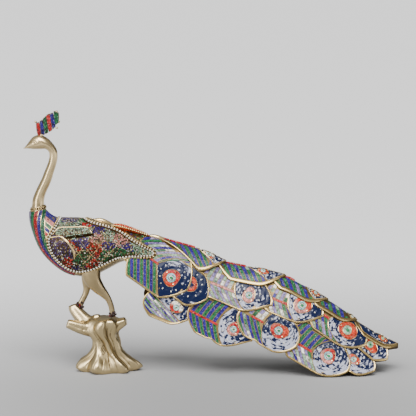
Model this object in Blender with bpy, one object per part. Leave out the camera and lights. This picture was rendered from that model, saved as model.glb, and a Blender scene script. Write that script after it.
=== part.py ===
"""Brass peacock with stone inlay, standing on a cast tree stump, its long train reaching the ground.

The bird and its stump are free forms. Their lines are drawn in units, and the figure is 670 units
long from beak to train tip, so UNIT turns one unit into metres. X runs from the beak (-X) to the
train tip (+X), Y runs across, Z is up, and the ground is at Z = 0.
"""

import math

import bmesh
import bpy
import numpy as np

# Overall size, and the walls, fits and cast details that keep their own size
FIGURE_LENGTH = 0.670
UNIT = FIGURE_LENGTH / 670.0
JOINT_GAP = 0.0003
TRAIN_WALL = 0.0045
FEATHER_RIM_WIDTH = 0.0030
FEATHER_FIELD_DEPTH = 0.0009
FEATHER_ROOT_LIFT = 0.0012
FEATHER_TIP_LIFT = 0.0042
FEATHER_EDGE_LIFT = 0.0016
BORDER_WIDTH = 0.0058
BORDER_SINK = 0.0002
COLLAR_WIDTH = 0.0052
CREST_THICKNESS = 0.0052
CREST_LINE = 0.0013
CREST_STONE_PROUD = 0.0004
GROUND_DEPTH = 0.100
SHARP_DEGREES = 38.0

# Neck and head: lower and upper edge of each station (x, z, x, z) and half width, in units
NECK_STATIONS = (
    (-323.0, 288.0, -296.0, 293.0, 13.5),
    (-321.0, 299.0, -299.0, 301.0, 11.6),
    (-319.0, 312.0, -298.0, 313.0, 10.4),
    (-312.0, 329.0, -294.0, 325.0, 9.8),
    (-304.0, 345.0, -287.0, 340.0, 9.2),
    (-297.0, 362.0, -281.0, 359.0, 8.6),
    (-291.0, 377.0, -276.0, 375.0, 8.4),
    (-289.0, 389.0, -274.0, 389.0, 8.6),
    (-290.5, 396.0, -276.0, 400.0, 9.4),
    (-296.0, 400.0, -284.0, 412.0, 10.6),
    (-303.0, 400.0, -294.0, 421.0, 11.4),
    (-311.0, 400.0, -304.0, 424.0, 11.2),
    (-318.0, 400.0, -314.0, 421.0, 9.0),
    (-323.0, 400.6, -321.0, 414.0, 6.2),
    (-328.0, 401.0, -327.0, 408.5, 3.6),
    (-332.0, 401.0, -331.5, 404.6, 2.0),
    (-335.0, 400.8, -335.0, 402.0, 0.8),
)

# Body from the collar to its end under the train, in the same form
BODY_STATIONS = (
    (-325.0, 288.0, -296.0, 292.5, 15.0),
    (-324.5, 272.0, -289.0, 284.0, 20.0),
    (-319.0, 250.0, -277.0, 277.5, 27.0),
    (-307.0, 221.0, -264.0, 277.0, 35.0),
    (-288.0, 198.0, -250.0, 277.0, 40.5),
    (-264.0, 180.0, -235.0, 276.5, 43.5),
    (-238.0, 172.0, -220.0, 275.0, 44.5),
    (-211.0, 174.0, -203.0, 273.0, 44.0),
    (-186.0, 185.0, -185.0, 268.0, 42.0),
    (-163.0, 197.0, -167.0, 261.0, 38.5),
    (-142.0, 202.0, -148.0, 252.0, 36.0),
    (-124.0, 204.0, -126.0, 240.5, 33.0),
    (-110.0, 206.0, -111.0, 230.0, 31.0),
    (-99.0, 210.0, -100.0, 221.0, 26.0),
    (-95.0, 214.0, -95.0, 217.5, 14.0),
)
BODY_SIDES = 14
BODY_RINGS = 16
NECK_SIDES = 10
NECK_RINGS = 17
COLLAR_SPREAD = 1.07
BORDER_POINTS = 26
BORDER_SIDES = 4
# Fine rings of the body that its half width is read from, and how many of their points are mixed
WIDTH_RINGS = 80
WIDTH_SIDES = 72
WIDTH_NEAREST = 3
WIDTH_SOFTENING = 1e-6

# Line of the beaded border on each flank (x, z), in units, from the back round the breast and belly
BORDER_LINE = (
    (-272.0, 275.5),
    (-279.0, 264.0),
    (-286.0, 252.0),
    (-290.0, 241.0),
    (-285.0, 224.0),
    (-274.0, 205.0),
    (-261.0, 193.0),
    (-248.0, 186.0),
    (-232.0, 184.0),
    (-212.0, 189.0),
    (-190.0, 199.0),
    (-168.0, 209.0),
    (-145.0, 213.0),
    (-122.0, 211.5),
    (-109.0, 211.5),
    (-102.5, 215.5),
    (-105.0, 221.5),
    (-116.0, 227.0),
    (-131.0, 234.5),
    (-145.0, 243.0),
    (-160.0, 253.0),
    (-178.0, 261.0),
    (-198.0, 267.0),
    (-222.0, 272.5),
)

# Legs: centre x, y, z and radius of each station, in units; -Y is the near leg
NEAR_LEG = (
    (-215.0, -15.0, 192.0, 19.0),
    (-215.0, -16.0, 178.0, 17.0),
    (-211.0, -16.0, 165.0, 14.5),
    (-202.0, -15.0, 152.0, 11.0),
    (-193.0, -15.0, 142.5, 8.0),
    (-185.0, -15.0, 132.0, 5.6),
    (-180.0, -15.0, 119.0, 5.0),
    (-177.5, -15.0, 105.0, 5.2),
)
FAR_LEG = (
    (-222.0, 14.0, 192.0, 16.0),
    (-222.5, 15.0, 175.0, 13.0),
    (-224.0, 15.0, 158.0, 9.6),
    (-225.0, 15.0, 146.0, 6.6),
    (-228.0, 15.0, 135.0, 5.4),
    (-233.0, 14.0, 125.0, 5.2),
    (-237.0, 13.0, 117.0, 5.4),
)
LEG_SIDES = 8
LEG_RINGS = 9
TOE_SIDES = 5
# Places along a toe and its radius there, as shares of the foot's length and height
TOE_STATIONS = ((-0.1, 0.42), (0.3, 0.48), (0.7, 0.36), (0.95, 0.18))
FOOT_HEIGHT = 9.0
FOOT_LENGTH = 17.0
# Front toes turned to each side, then the back toe, which is shorter; toes slope down to their ends
FOOT_TURNS = (-28.0, 28.0, 180.0)
BACK_TOE_SHARE = 0.6
TOE_DROP_SHARE = 0.35

# Train: ridge height, nominal depth of the roof, half spread and roundness along X, in units
TRAIN_RIDGE = (
    (-152.0, 256.5), (-111.0, 244.0), (-80.0, 234.0), (-30.0, 218.0), (0.0, 206.0), (23.0, 194.0),
    (59.0, 185.0), (90.0, 179.0), (129.0, 168.0), (158.0, 152.0), (206.0, 124.0), (244.0, 97.0),
    (289.0, 66.0), (331.0, 43.0),
)
TRAIN_DEPTH = (
    (-152.0, 76.0), (-110.0, 106.0), (-60.0, 128.0), (0.0, 138.0), (60.0, 140.0), (130.0, 142.0),
    (170.0, 138.0), (209.0, 119.0), (244.0, 93.0), (289.0, 64.0), (331.0, 44.0),
)
TRAIN_SPREAD = (
    (-152.0, 43.0), (-110.0, 46.0), (-60.0, 49.0), (0.0, 54.0), (60.0, 57.0), (130.0, 60.0),
    (190.0, 61.0), (244.0, 57.0), (289.0, 48.0), (331.0, 34.0),
)
TRAIN_ROUNDNESS = ((-152.0, 2.6), (-60.0, 2.3), (60.0, 2.05), (331.0, 2.0))
TRAIN_HEM = (
    (-152.0, 212.0), (-138.0, 186.0), (-124.0, 163.0), (-114.0, 148.0), (-109.0, 125.0),
    (-92.0, 112.0), (-39.0, 106.0), (-19.0, 88.0), (0.0, 72.0), (25.0, 66.0), (69.0, 66.0),
    (88.0, 66.0), (108.0, 58.0), (134.0, 58.0), (146.0, 40.0), (160.0, 16.0), (175.0, 9.0),
    (272.0, 9.0), (294.0, 16.0), (312.0, 28.0), (326.0, 40.0),
)
TRAIN_START = -152.0
TRAIN_END = 326.0
TRAIN_STATIONS = 17
TRAIN_COLUMNS = 10
CURVE_STEPS = 12
# Steps along and across the roof that its normal is measured over
PROBE_LENGTH = 0.5
PROBE_SHARE = 0.01

# Feathers on each side: root x, z, tip x, z and width in units, in laying order from the ground up
SIDE_FEATHERS = (
    (220.0, 47.0, 288.0, 7.0, 43.0),
    (131.0, 76.0, 243.0, 11.0, 67.0),
    (46.0, 114.0, 151.0, 55.0, 59.0),
    (-50.0, 124.0, 71.0, 63.0, 65.0),
    (-122.0, 139.0, -35.0, 103.0, 49.0),
    (250.0, 79.0, 312.0, 24.0, 36.0),
    (172.0, 121.0, 274.0, 51.0, 54.0),
    (82.0, 151.0, 198.0, 103.0, 56.0),
    (-28.0, 181.0, 107.0, 124.0, 59.0),
    (-83.0, 192.0, -9.0, 136.0, 65.0),
    (-143.0, 224.0, -43.0, 153.0, 80.0),
)
# Feathers across the ridge: root x, tip x and how far their edges hang below the ridge
RIDGE_FEATHERS = (
    (250.0, 335.0, 14.0),
    (165.0, 258.0, 17.0),
    (96.0, 206.0, 20.0),
    (2.0, 131.0, 24.0),
    (-100.0, 24.0, 31.0),
    (-151.0, -84.0, 10.0),
)
RIDGE_WIDTH = 2.8
RIDGE_EASE = 0.08
FEATHER_SINK_SHARE = 0.6
RIDGE_EDGE_SHARE = 0.8
LEAF_POINTS = 12
LEAF_MIDDLE = 0.52
LEAF_ROOT_SHARE = 0.22
LEAF_ROOT_POWER = 0.5
LEAF_TIP_START = 0.60
LEAF_TIP_BEND = 1.8
LEAF_TIP_POWER = 0.75
SIDE_RINGS = (0.5,)
RIDGE_RINGS = (0.68, 0.36)

# Stump: height, left and right edge, half depth and depth of the folds at each station, in units
STUMP_STATIONS = (
    (0.0, -231.0, -142.0, 38.0, 0.12),
    (7.0, -242.0, -130.0, 43.0, 0.13),
    (17.0, -238.0, -138.0, 41.0, 0.15),
    (28.0, -224.0, -153.0, 34.0, 0.15),
    (40.0, -215.0, -162.0, 29.0, 0.13),
    (54.0, -214.0, -166.0, 27.0, 0.12),
    (66.0, -222.0, -170.0, 29.0, 0.11),
    (76.0, -229.0, -167.0, 31.0, 0.10),
    (86.0, -228.0, -163.0, 31.0, 0.09),
    (94.0, -220.0, -166.0, 27.0, 0.07),
    (98.0, -208.0, -174.0, 16.0, 0.04),
)
STUMP_SIDES = 21
STUMP_RINGS = 11
# Folds round the trunk, the broader lobes that they ride on, and how far the folds lean on their way up
STUMP_FOLDS = 7
STUMP_LOBES = 3
STUMP_LOBE_SHARE = 0.4
STUMP_TWIST = 0.9
STUMP_FOLD_LEAN = 3.0
# Branches of the stump: x, y, z and radius of each station, in units
STUMP_BRANCHES = (
    ((-206.0, 0.0, 78.0, 17.0), (-226.0, 6.0, 86.0, 17.0), (-240.0, 10.0, 99.0, 14.5),
     (-249.0, 12.0, 110.0, 11.5), (-251.0, 12.0, 117.0, 7.0)),
    ((-206.0, -6.0, 72.0, 13.0), (-232.0, -12.0, 79.0, 11.5), (-252.0, -16.0, 86.0, 8.0),
     (-259.0, -17.0, 88.5, 5.0)),
    ((-186.0, -4.0, 74.0, 14.0), (-170.0, -8.0, 84.0, 11.5), (-158.0, -10.0, 90.0, 8.0),
     (-153.5, -11.0, 91.5, 4.5)),
    ((-205.0, -2.0, 84.0, 13.0), (-207.0, -3.0, 95.0, 10.0), (-208.0, -3.0, 102.0, 6.0)),
)

# Crest: the left edge of its first stripe at foot and top, the stripes' pitch and their heights
CREST_FOOT_X = -308.5
CREST_TOP_X = -311.5
CREST_FOOT_PITCH = 5.9
CREST_TOP_PITCH = 6.6
CREST_TOPS = (447.5, 451.0, 458.0, 462.5, 464.0, 467.5)
CREST_FEET = (426.5, 425.5, 428.0, 431.5, 434.5, 436.5)
CREST_SHOULDER = 2.0
CREST_TIP_LINES = 1.4
CREST_ROOT = ((-311.0, 416.0), (-294.0, 414.0))

# Finish of each sub-part: base colour, metallic and roughness
BRASS = ((0.62, 0.45, 0.22), 1.0, 0.36)
OLD_BRASS = ((0.42, 0.29, 0.13), 1.0, 0.46)
STONE_RED = ((0.50, 0.05, 0.03), 0.0, 0.18)
STONE_BLUE = ((0.05, 0.06, 0.32), 0.0, 0.18)
STONE_GREEN = ((0.05, 0.28, 0.12), 0.0, 0.18)
CREST_STONES = (STONE_RED, STONE_BLUE, STONE_GREEN, STONE_RED, STONE_BLUE, STONE_GREEN)


def clear_scene():
    for item in list(bpy.data.objects):
        bpy.data.objects.remove(item, do_unlink=True)


def material(name, finish):
    """Principled material from a finish of colour, metallic and roughness."""
    colour, metallic, roughness = finish
    mat = bpy.data.materials.new(name)
    mat.use_nodes = True
    shader = mat.node_tree.nodes["Principled BSDF"]
    shader.inputs["Base Color"].default_value = (*colour, 1.0)
    shader.inputs["Metallic"].default_value = metallic
    shader.inputs["Roughness"].default_value = roughness
    return mat


def solid(name, points, faces):
    """Object from arrays of points and faces, closed and with its faces pointing out."""
    mesh = bpy.data.meshes.new(name)
    mesh.from_pydata([tuple(point) for point in points], [], [tuple(face) for face in faces])
    work = bmesh.new()
    work.from_mesh(mesh)
    bmesh.ops.recalc_face_normals(work, faces=work.faces)
    bmesh.ops.triangulate(work, faces=work.faces)
    work.to_mesh(mesh)
    work.free()
    item = bpy.data.objects.new(name, mesh)
    bpy.context.scene.collection.objects.link(item)
    return item


def smooth_rows(rows, count):
    """Rows of numbers made denser, on a Catmull-Rom curve through each of them."""
    table = np.array(rows, dtype=float)
    last = len(table) - 1
    place = np.linspace(0.0, last, count)
    left = np.minimum(place.astype(int), last - 1)
    share = (place - left)[:, None]
    before = table[np.maximum(left - 1, 0)]
    start = table[left]
    end = table[left + 1]
    after = table[np.minimum(left + 2, last)]
    return 0.5 * (
        2.0 * start
        + (end - before) * share
        + (2.0 * before - 5.0 * start + 4.0 * end - after) * share**2
        + (3.0 * start - before - 3.0 * end + after) * share**3
    )


def ring_solid(name, rings):
    """Closed tube through rings of equal point count, with a fan over each end."""
    rings = np.array(rings)
    count, sides = rings.shape[:2]
    points = list(rings.reshape(-1, 3))
    points.append(rings[0].mean(axis=0))
    points.append(rings[-1].mean(axis=0))
    faces = []
    for row in range(count - 1):
        for side in range(sides):
            after = (side + 1) % sides
            low = row * sides
            faces.append((low + side, low + after, low + sides + after, low + sides + side))
    start = count * sides
    last = (count - 1) * sides
    for side in range(sides):
        after = (side + 1) % sides
        faces.append((start, after, side))
        faces.append((start + 1, last + side, last + after))
    return solid(name, points, faces)


def oval_rings(stations, count, sides, grow=0.0):
    """Oval rings between the lower and the upper edge of each station, in metres."""
    rows = smooth_rows(stations, count) * UNIT
    turn = np.linspace(0.0, 2.0 * math.pi, sides, endpoint=False)
    rings = []
    for low_x, low_z, high_x, high_z, half in rows:
        middle = np.array([(low_x + high_x) / 2.0, 0.0, (low_z + high_z) / 2.0])
        rise = np.array([(high_x - low_x) / 2.0, 0.0, (high_z - low_z) / 2.0])
        rise = rise * (1.0 + grow / np.linalg.norm(rise))
        across = np.array([0.0, half + grow, 0.0])
        rings.append(middle + np.cos(turn)[:, None] * rise + np.sin(turn)[:, None] * across)
    if grow:
        first = rings[0].mean(axis=0) - rings[1].mean(axis=0)
        last = rings[-1].mean(axis=0) - rings[-2].mean(axis=0)
        rings[0] = rings[0] + first / np.linalg.norm(first) * grow
        rings[-1] = rings[-1] + last / np.linalg.norm(last) * grow
    return np.array(rings)


def path_rings(path, radii, sides, closed=False, guide=(0.0, 1.0, 0.0)):
    """Round rings square to a path of points, one radius for each point, in metres."""
    path = np.array(path)
    if closed:
        along = np.roll(path, -1, axis=0) - np.roll(path, 1, axis=0)
    else:
        along = np.gradient(path, axis=0)
    along = along / np.linalg.norm(along, axis=1)[:, None]
    turn = np.linspace(0.0, 2.0 * math.pi, sides, endpoint=False)
    rings = []
    for point, heading, radius in zip(path, along, radii):
        first = np.cross(heading, guide)
        first = first / np.linalg.norm(first)
        second = np.cross(heading, first)
        rings.append(point + radius * (np.cos(turn)[:, None] * first + np.sin(turn)[:, None] * second))
    return np.array(rings)


def tube(name, stations, count, sides, grow=0.0):
    """Round tapering limb through stations of centre and radius."""
    rows = smooth_rows(stations, count) * UNIT
    return ring_solid(name, path_rings(rows[:, :3], rows[:, 3] + grow, sides))


def closed_tube(name, path, radius, sides, guide=(0.0, 1.0, 0.0)):
    """Round cord along a closed path that lies roughly square to its guide."""
    rings = path_rings(path, [radius] * len(path), sides, True, guide)
    count = len(rings)
    points = rings.reshape(-1, 3)
    faces = []
    for row in range(count):
        for side in range(sides):
            after = (side + 1) % sides
            here = row * sides
            there = ((row + 1) % count) * sides
            faces.append((here + side, here + after, there + after, there + side))
    return solid(name, points, faces)


def prism(name, outline, thickness):
    """Plate of an outline (x, z) in metres, centred on Y = 0."""
    count = len(outline)
    half = thickness / 2.0
    points = [(x, -half, z) for x, z in outline] + [(x, half, z) for x, z in outline]
    faces = [tuple(range(count)), tuple(range(2 * count - 1, count - 1, -1))]
    for corner in range(count):
        after = (corner + 1) % count
        faces.append((corner, after, count + after, count + corner))
    return solid(name, points, faces)


def as_cutter(item):
    item.hide_render = True
    item.display_type = "WIRE"
    return item


def combine(base, tools, operation):
    """Boolean of a base with all its tools at once; the result is kept in the base's mesh."""
    group = bpy.data.collections.new("tools")
    bpy.context.scene.collection.children.link(group)
    for tool in tools:
        as_cutter(tool)
        bpy.context.scene.collection.objects.unlink(tool)
        group.objects.link(tool)
    step = base.modifiers.new("combine", "BOOLEAN")
    step.operation = operation
    step.solver = "EXACT"
    step.operand_type = "COLLECTION"
    step.collection = group
    graph = bpy.context.evaluated_depsgraph_get()
    shaped = bpy.data.meshes.new_from_object(base.evaluated_get(graph))
    base.modifiers.clear()
    base.data = shaped
    for tool in tools:
        bpy.data.objects.remove(tool, do_unlink=True)
    bpy.data.collections.remove(group)
    return base


def finish(item, name, look):
    """Name and material of a finished piece, shaded smooth with its sharp edges kept."""
    item.name = name
    item.data.name = name
    item.data.materials.clear()
    item.data.materials.append(material(name + "_finish", look))
    item.data.shade_smooth()
    item.data.set_sharp_from_angle(angle=math.radians(SHARP_DEGREES))
    return item


def body_half_width(x, z):
    """Half width of the body at a place of its side view, in metres."""
    rings = oval_rings(BODY_STATIONS, WIDTH_RINGS, WIDTH_SIDES)
    near = rings[:, WIDTH_SIDES // 2:, :].reshape(-1, 3)
    far = np.hypot(near[:, 0] - x, near[:, 2] - z)
    close = np.argsort(far)[:WIDTH_NEAREST]
    weight = 1.0 / (far[close] + WIDTH_SOFTENING)
    return float(np.sum(np.abs(near[close, 1]) * weight) / np.sum(weight))


def border_path(side, count):
    """Closed line of the beaded border on one flank, sunk a little into the body."""
    line = smooth_rows(BORDER_LINE + BORDER_LINE[:1], count + 1)[:-1] * UNIT
    path = []
    for x, z in line:
        half = body_half_width(x, z) - BORDER_SINK
        path.append((x, side * max(half, BORDER_WIDTH), z))
    path = np.array(path)
    return (np.roll(path, 1, axis=0) + 2.0 * path + np.roll(path, -1, axis=0)) / 4.0


def foot_parts(ankle, grow):
    """Two toes forward and one back, as low rounded lobes round an ankle (x, y, z in units)."""
    parts = []
    x, y, z = ankle
    for index, degrees in enumerate(FOOT_TURNS):
        turn = math.radians(180.0 + degrees)
        reach = FOOT_LENGTH if degrees < 90.0 else FOOT_LENGTH * BACK_TOE_SHARE
        stations = []
        for share, thick in TOE_STATIONS:
            out = reach * share
            drop = FOOT_HEIGHT * TOE_DROP_SHARE * share
            stations.append((x + out * math.cos(turn), y + out * math.sin(turn), z - drop,
                             FOOT_HEIGHT * thick))
        parts.append(tube("toe_%d" % index, stations, len(stations), TOE_SIDES, grow))
    return parts


def leg_parts(grow):
    """Both legs with their feet, each grown outwards by the same distance."""
    parts = [tube("near_leg", NEAR_LEG, LEG_RINGS, LEG_SIDES, grow)]
    parts.append(tube("far_leg", FAR_LEG, LEG_RINGS, LEG_SIDES, grow))
    parts += foot_parts(NEAR_LEG[-1][:3], grow)
    parts += foot_parts(FAR_LEG[-1][:3], grow)
    return parts


def border_parts(grow):
    """The body's two beaded borders, each grown outwards by the same distance."""
    parts = []
    for side in (-1.0, 1.0):
        path = border_path(side, BORDER_POINTS)
        parts.append(closed_tube("border", path, BORDER_WIDTH / 2.0 + grow, BORDER_SIDES))
    return parts


def make_body():
    """Body with its legs, feet and beaded borders as one casting."""
    core = ring_solid("body_core", oval_rings(BODY_STATIONS, BODY_RINGS, BODY_SIDES))
    combine(core, leg_parts(0.0) + border_parts(0.0), "UNION")
    return finish(core, "body", BRASS)


def make_neck():
    """Neck, head and beak with the collar round its foot and the crest plate on its crown."""
    rings = oval_rings(NECK_STATIONS, NECK_RINGS, NECK_SIDES)
    axis = rings[1].mean(axis=0) - rings[0].mean(axis=0)
    axis = axis / np.linalg.norm(axis)
    rings[0] = rings[0] + axis * JOINT_GAP
    neck = ring_solid("neck_core", rings)
    centre = rings[0].mean(axis=0)
    between = (rings[0] + np.roll(rings[0], -1, axis=0)) / 2.0
    seat = centre + (between - centre) * COLLAR_SPREAD + axis * (COLLAR_WIDTH / 2.0 + JOINT_GAP)
    parts = [closed_tube("collar", seat, COLLAR_WIDTH / 2.0, BORDER_SIDES, axis)]
    parts.append(prism("crest_plate", crest_outline(), CREST_THICKNESS))
    combine(neck, parts, "UNION")
    pockets = [prism("pocket", stripe_outline(index, 0.0), 2.0 * CREST_THICKNESS)
               for index in range(len(CREST_TOPS))]
    combine(neck, pockets, "DIFFERENCE")
    return finish(neck, "neck_and_head", BRASS)


def stripe_edge(index, at_top):
    """Left edge of one crest stripe at its foot or its top, in units."""
    if at_top:
        return CREST_TOP_X + CREST_TOP_PITCH * index
    return CREST_FOOT_X + CREST_FOOT_PITCH * index


def stripe_outline(index, inset):
    """Outline of one crest stone, pulled in by half a line and an inset, in metres."""
    edge = CREST_LINE / 2.0 + inset
    foot = CREST_FEET[index] * UNIT
    top = CREST_TOPS[index] * UNIT
    left_foot = stripe_edge(index, False) * UNIT + edge
    right_foot = stripe_edge(index + 1, False) * UNIT - edge
    left_top = stripe_edge(index, True) * UNIT + edge
    right_top = stripe_edge(index + 1, True) * UNIT - edge
    middle = (left_top + right_top) / 2.0
    shoulder = top - CREST_SHOULDER * UNIT - inset
    return ((left_foot, foot + inset), (right_foot, foot + inset), (right_top, shoulder),
            (middle, top - inset), (left_top, shoulder))


def crest_outline():
    """Outline of the crest plate: the stripes' tops and feet with a line of metal round them."""
    last = len(CREST_TOPS)
    line = CREST_LINE
    outline = [(x * UNIT, z * UNIT) for x, z in CREST_ROOT]
    for index in range(2, last):
        foot = min(CREST_FEET[index], CREST_FEET[index - 1]) * UNIT
        outline.append((stripe_edge(index, False) * UNIT, foot - line))
    outline.append((stripe_edge(last, False) * UNIT + line, CREST_FEET[-1] * UNIT - line))
    for index in range(last - 1, -1, -1):
        top = CREST_TOPS[index] * UNIT
        right = stripe_edge(index + 1, True) * UNIT
        left = stripe_edge(index, True) * UNIT
        if index == last - 1:
            outline.append((right + line, top - CREST_SHOULDER * UNIT))
        outline.append(((left + right) / 2.0, top + line * CREST_TIP_LINES))
        if index:
            shoulder = max(CREST_TOPS[index], CREST_TOPS[index - 1]) - CREST_SHOULDER
            outline.append((left, shoulder * UNIT + line))
    outline.append((stripe_edge(0, True) * UNIT - line, (CREST_TOPS[0] - CREST_SHOULDER) * UNIT))
    outline.append((stripe_edge(0, False) * UNIT - line, CREST_FEET[0] * UNIT - line))
    return outline


def make_crest_stones():
    """The six stones of the crest, each in its own window of the plate and a little proud of it."""
    for index, look in enumerate(CREST_STONES):
        outline = stripe_outline(index, JOINT_GAP)
        stone = prism("stone", outline, CREST_THICKNESS + 2.0 * CREST_STONE_PROUD)
        finish(stone, "crest_stone_%d" % (index + 1), look)


def along(table, x):
    """Value of a table of (x, value) rows at x, on a curve with its corners rounded off."""
    rows = np.array(table)
    fine = smooth_rows(table, CURVE_STEPS * len(rows))
    return np.interp(x, fine[:, 0], fine[:, 1])


def hem_share(x):
    """How far down the roof its hem lies, as a share of the half spread."""
    drop = np.maximum(along(TRAIN_RIDGE, x) - along(TRAIN_HEM, x), 1.0)
    return (drop / along(TRAIN_DEPTH, x)) ** (1.0 / along(TRAIN_ROUNDNESS, x))


def roof_point(x, across):
    """Point of the train's roof in units: y = spread * across, z = ridge - depth * |across| ** n."""
    power = along(TRAIN_ROUNDNESS, x)
    y = along(TRAIN_SPREAD, x) * across
    z = along(TRAIN_RIDGE, x) - along(TRAIN_DEPTH, x) * np.abs(across) ** power
    return np.stack([x, y, z], axis=-1)


def train_point(x, across, lift):
    """Point above the roof by a lift in metres, square to it; x is in units."""
    x = np.asarray(x, dtype=float)
    across = np.asarray(across, dtype=float)
    ahead = roof_point(x + PROBE_LENGTH, across) - roof_point(x - PROBE_LENGTH, across)
    aside = roof_point(x, across + PROBE_SHARE) - roof_point(x, across - PROBE_SHARE)
    normal = np.cross(ahead, aside)
    normal = normal / np.linalg.norm(normal, axis=-1)[..., None]
    return roof_point(x, across) * UNIT + normal * np.asarray(lift)[..., None]


def across_at(x, z):
    """Share across the roof at the height z in units, eased so that it never crosses the ridge."""
    drop = along(TRAIN_RIDGE, x) - z
    share = np.sign(drop) * (np.abs(drop) / along(TRAIN_DEPTH, x)) ** (1.0 / along(TRAIN_ROUNDNESS, x))
    return 0.5 * (share + np.sqrt(share**2 + RIDGE_EASE**2))


def make_shell():
    """The train's roof: an outer and an inner sheet joined round the hem and at both ends."""
    stations = np.linspace(TRAIN_START, TRAIN_END, TRAIN_STATIONS)
    share = np.linspace(-1.0, 1.0, TRAIN_COLUMNS + 1)
    x, part = np.meshgrid(stations, share, indexing="ij")
    across = part * hem_share(x)
    outer = train_point(x, across, np.zeros_like(x)).reshape(-1, 3)
    inner = train_point(x, across, np.full_like(x, -TRAIN_WALL)).reshape(-1, 3)
    points = np.concatenate([outer, inner])
    width = TRAIN_COLUMNS + 1
    shift = len(outer)
    faces = []
    for row in range(TRAIN_STATIONS - 1):
        for column in range(TRAIN_COLUMNS):
            corner = row * width + column
            quad = (corner, corner + 1, corner + width + 1, corner + width)
            faces.append(quad)
            faces.append(tuple(shift + item for item in reversed(quad)))
    edge = list(range(width))
    edge += [row * width + width - 1 for row in range(1, TRAIN_STATIONS)]
    edge += [(TRAIN_STATIONS - 1) * width + column for column in range(width - 2, -1, -1)]
    edge += [row * width for row in range(TRAIN_STATIONS - 2, 0, -1)]
    for place, here in enumerate(edge):
        there = edge[(place + 1) % len(edge)]
        faces.append((here, there, shift + there, shift + here))
    return solid("train_shell", points, faces)


def leaf_width(along_leaf):
    """Half width of a feather: it opens at once at the root and closes to a soft point."""
    root = np.minimum(1.0, np.maximum(along_leaf, 0.0) / LEAF_ROOT_SHARE) ** LEAF_ROOT_POWER
    reach = np.maximum(0.0, (along_leaf - LEAF_TIP_START) / (1.0 - LEAF_TIP_START))
    tip = np.maximum(0.0, 1.0 - reach**LEAF_TIP_BEND) ** LEAF_TIP_POWER
    return root * tip


def leaf_outline(count):
    """Outline of a feather: places along it from 0 to 1, and aside from -1 to 1."""
    turn = np.linspace(0.0, 2.0 * math.pi, count, endpoint=False)
    lengthwise = np.cos(turn)
    sideways = np.sin(turn)
    along_leaf = 0.5 - 0.5 * lengthwise
    return along_leaf, np.sign(sideways) * leaf_width(along_leaf)


def feather_solid(name, place, width, rings):
    """Closed plate of a feather: a rimmed leaf whose underside lies inside the train's wall.

    place(along, aside) gives x, across and the lift of a point of the leaf. The rings run from
    the outline inwards, and the field inside the rim is sunk by FEATHER_FIELD_DEPTH.
    """
    lengthwise, sideways = leaf_outline(LEAF_POINTS)
    rim = 1.0 - 2.0 * FEATHER_RIM_WIDTH / (width * UNIT)
    layers = [(1.0, 0.0), (rim, -FEATHER_FIELD_DEPTH)]
    layers += [(scale, -FEATHER_FIELD_DEPTH) for scale in rings]
    sunk = -TRAIN_WALL * FEATHER_SINK_SHARE

    def ring(scale, rise, deep):
        inward = LEAF_MIDDLE + (lengthwise - LEAF_MIDDLE) * scale
        x, across, lift = place(inward, sideways * scale)
        lift = np.full_like(lift, sunk) if deep else lift + rise
        return train_point(x, across, lift)

    points = []
    for scale, rise in layers:
        points.append(ring(scale, rise, False))
    points.append(ring(0.0, layers[-1][1], False)[:1])
    under = [1.0] + list(rings)
    for scale in under:
        points.append(ring(scale, 0.0, True))
    points.append(ring(0.0, 0.0, True)[:1])
    points = np.concatenate(points)
    count = LEAF_POINTS
    faces = []

    def band(first, second):
        for side in range(count):
            after = (side + 1) % count
            faces.append((first + side, first + after, second + after, second + side))

    def fan(first, centre):
        for side in range(count):
            faces.append((first + side, first + (side + 1) % count, centre))

    for layer in range(len(layers) - 1):
        band(layer * count, (layer + 1) * count)
    top_centre = len(layers) * count
    fan((len(layers) - 1) * count, top_centre)
    low = top_centre + 1
    for layer in range(len(under) - 1):
        band(low + layer * count, low + (layer + 1) * count)
    fan(low + (len(under) - 1) * count, low + len(under) * count)
    band(0, low)
    return solid(name, points, faces)


def side_feather(index, row, side):
    """A feather on one flank of the train, laid from its root to its tip."""
    root_x, root_z, tip_x, tip_z, width = row
    length = math.hypot(tip_x - root_x, tip_z - root_z)
    heading = ((tip_x - root_x) / length, (tip_z - root_z) / length)

    def place(lengthwise, sideways):
        x = root_x + heading[0] * length * lengthwise + heading[1] * sideways * width / 2.0
        z = root_z + heading[1] * length * lengthwise - heading[0] * sideways * width / 2.0
        lift = FEATHER_ROOT_LIFT + FEATHER_TIP_LIFT * lengthwise + FEATHER_EDGE_LIFT * sideways
        return x, side * across_at(x, z), lift

    return feather_solid("feather_%d" % index, place, width, SIDE_RINGS)


def ridge_feather(index, row):
    """A feather folded over the train's ridge, its edges hanging down on both flanks."""
    root_x, tip_x, hang = row
    length = tip_x - root_x

    def place(lengthwise, sideways):
        x = root_x + length * lengthwise
        across = sideways * across_at(x, along(TRAIN_RIDGE, x) - hang)
        lift = FEATHER_ROOT_LIFT + FEATHER_TIP_LIFT * lengthwise
        lift = lift + FEATHER_EDGE_LIFT * (RIDGE_EDGE_SHARE + np.abs(sideways))
        return x, across, lift

    return feather_solid("ridge_feather_%d" % index, place, hang * RIDGE_WIDTH, RIDGE_RINGS)


def box_solid(name, low, high):
    """Box between two corners in metres."""
    points = [(x, y, z) for x in (low[0], high[0]) for y in (low[1], high[1]) for z in (low[2], high[2])]
    faces = ((0, 1, 3, 2), (4, 6, 7, 5), (0, 4, 5, 1), (2, 3, 7, 6), (0, 2, 6, 4), (1, 5, 7, 3))
    return solid(name, points, faces)


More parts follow.
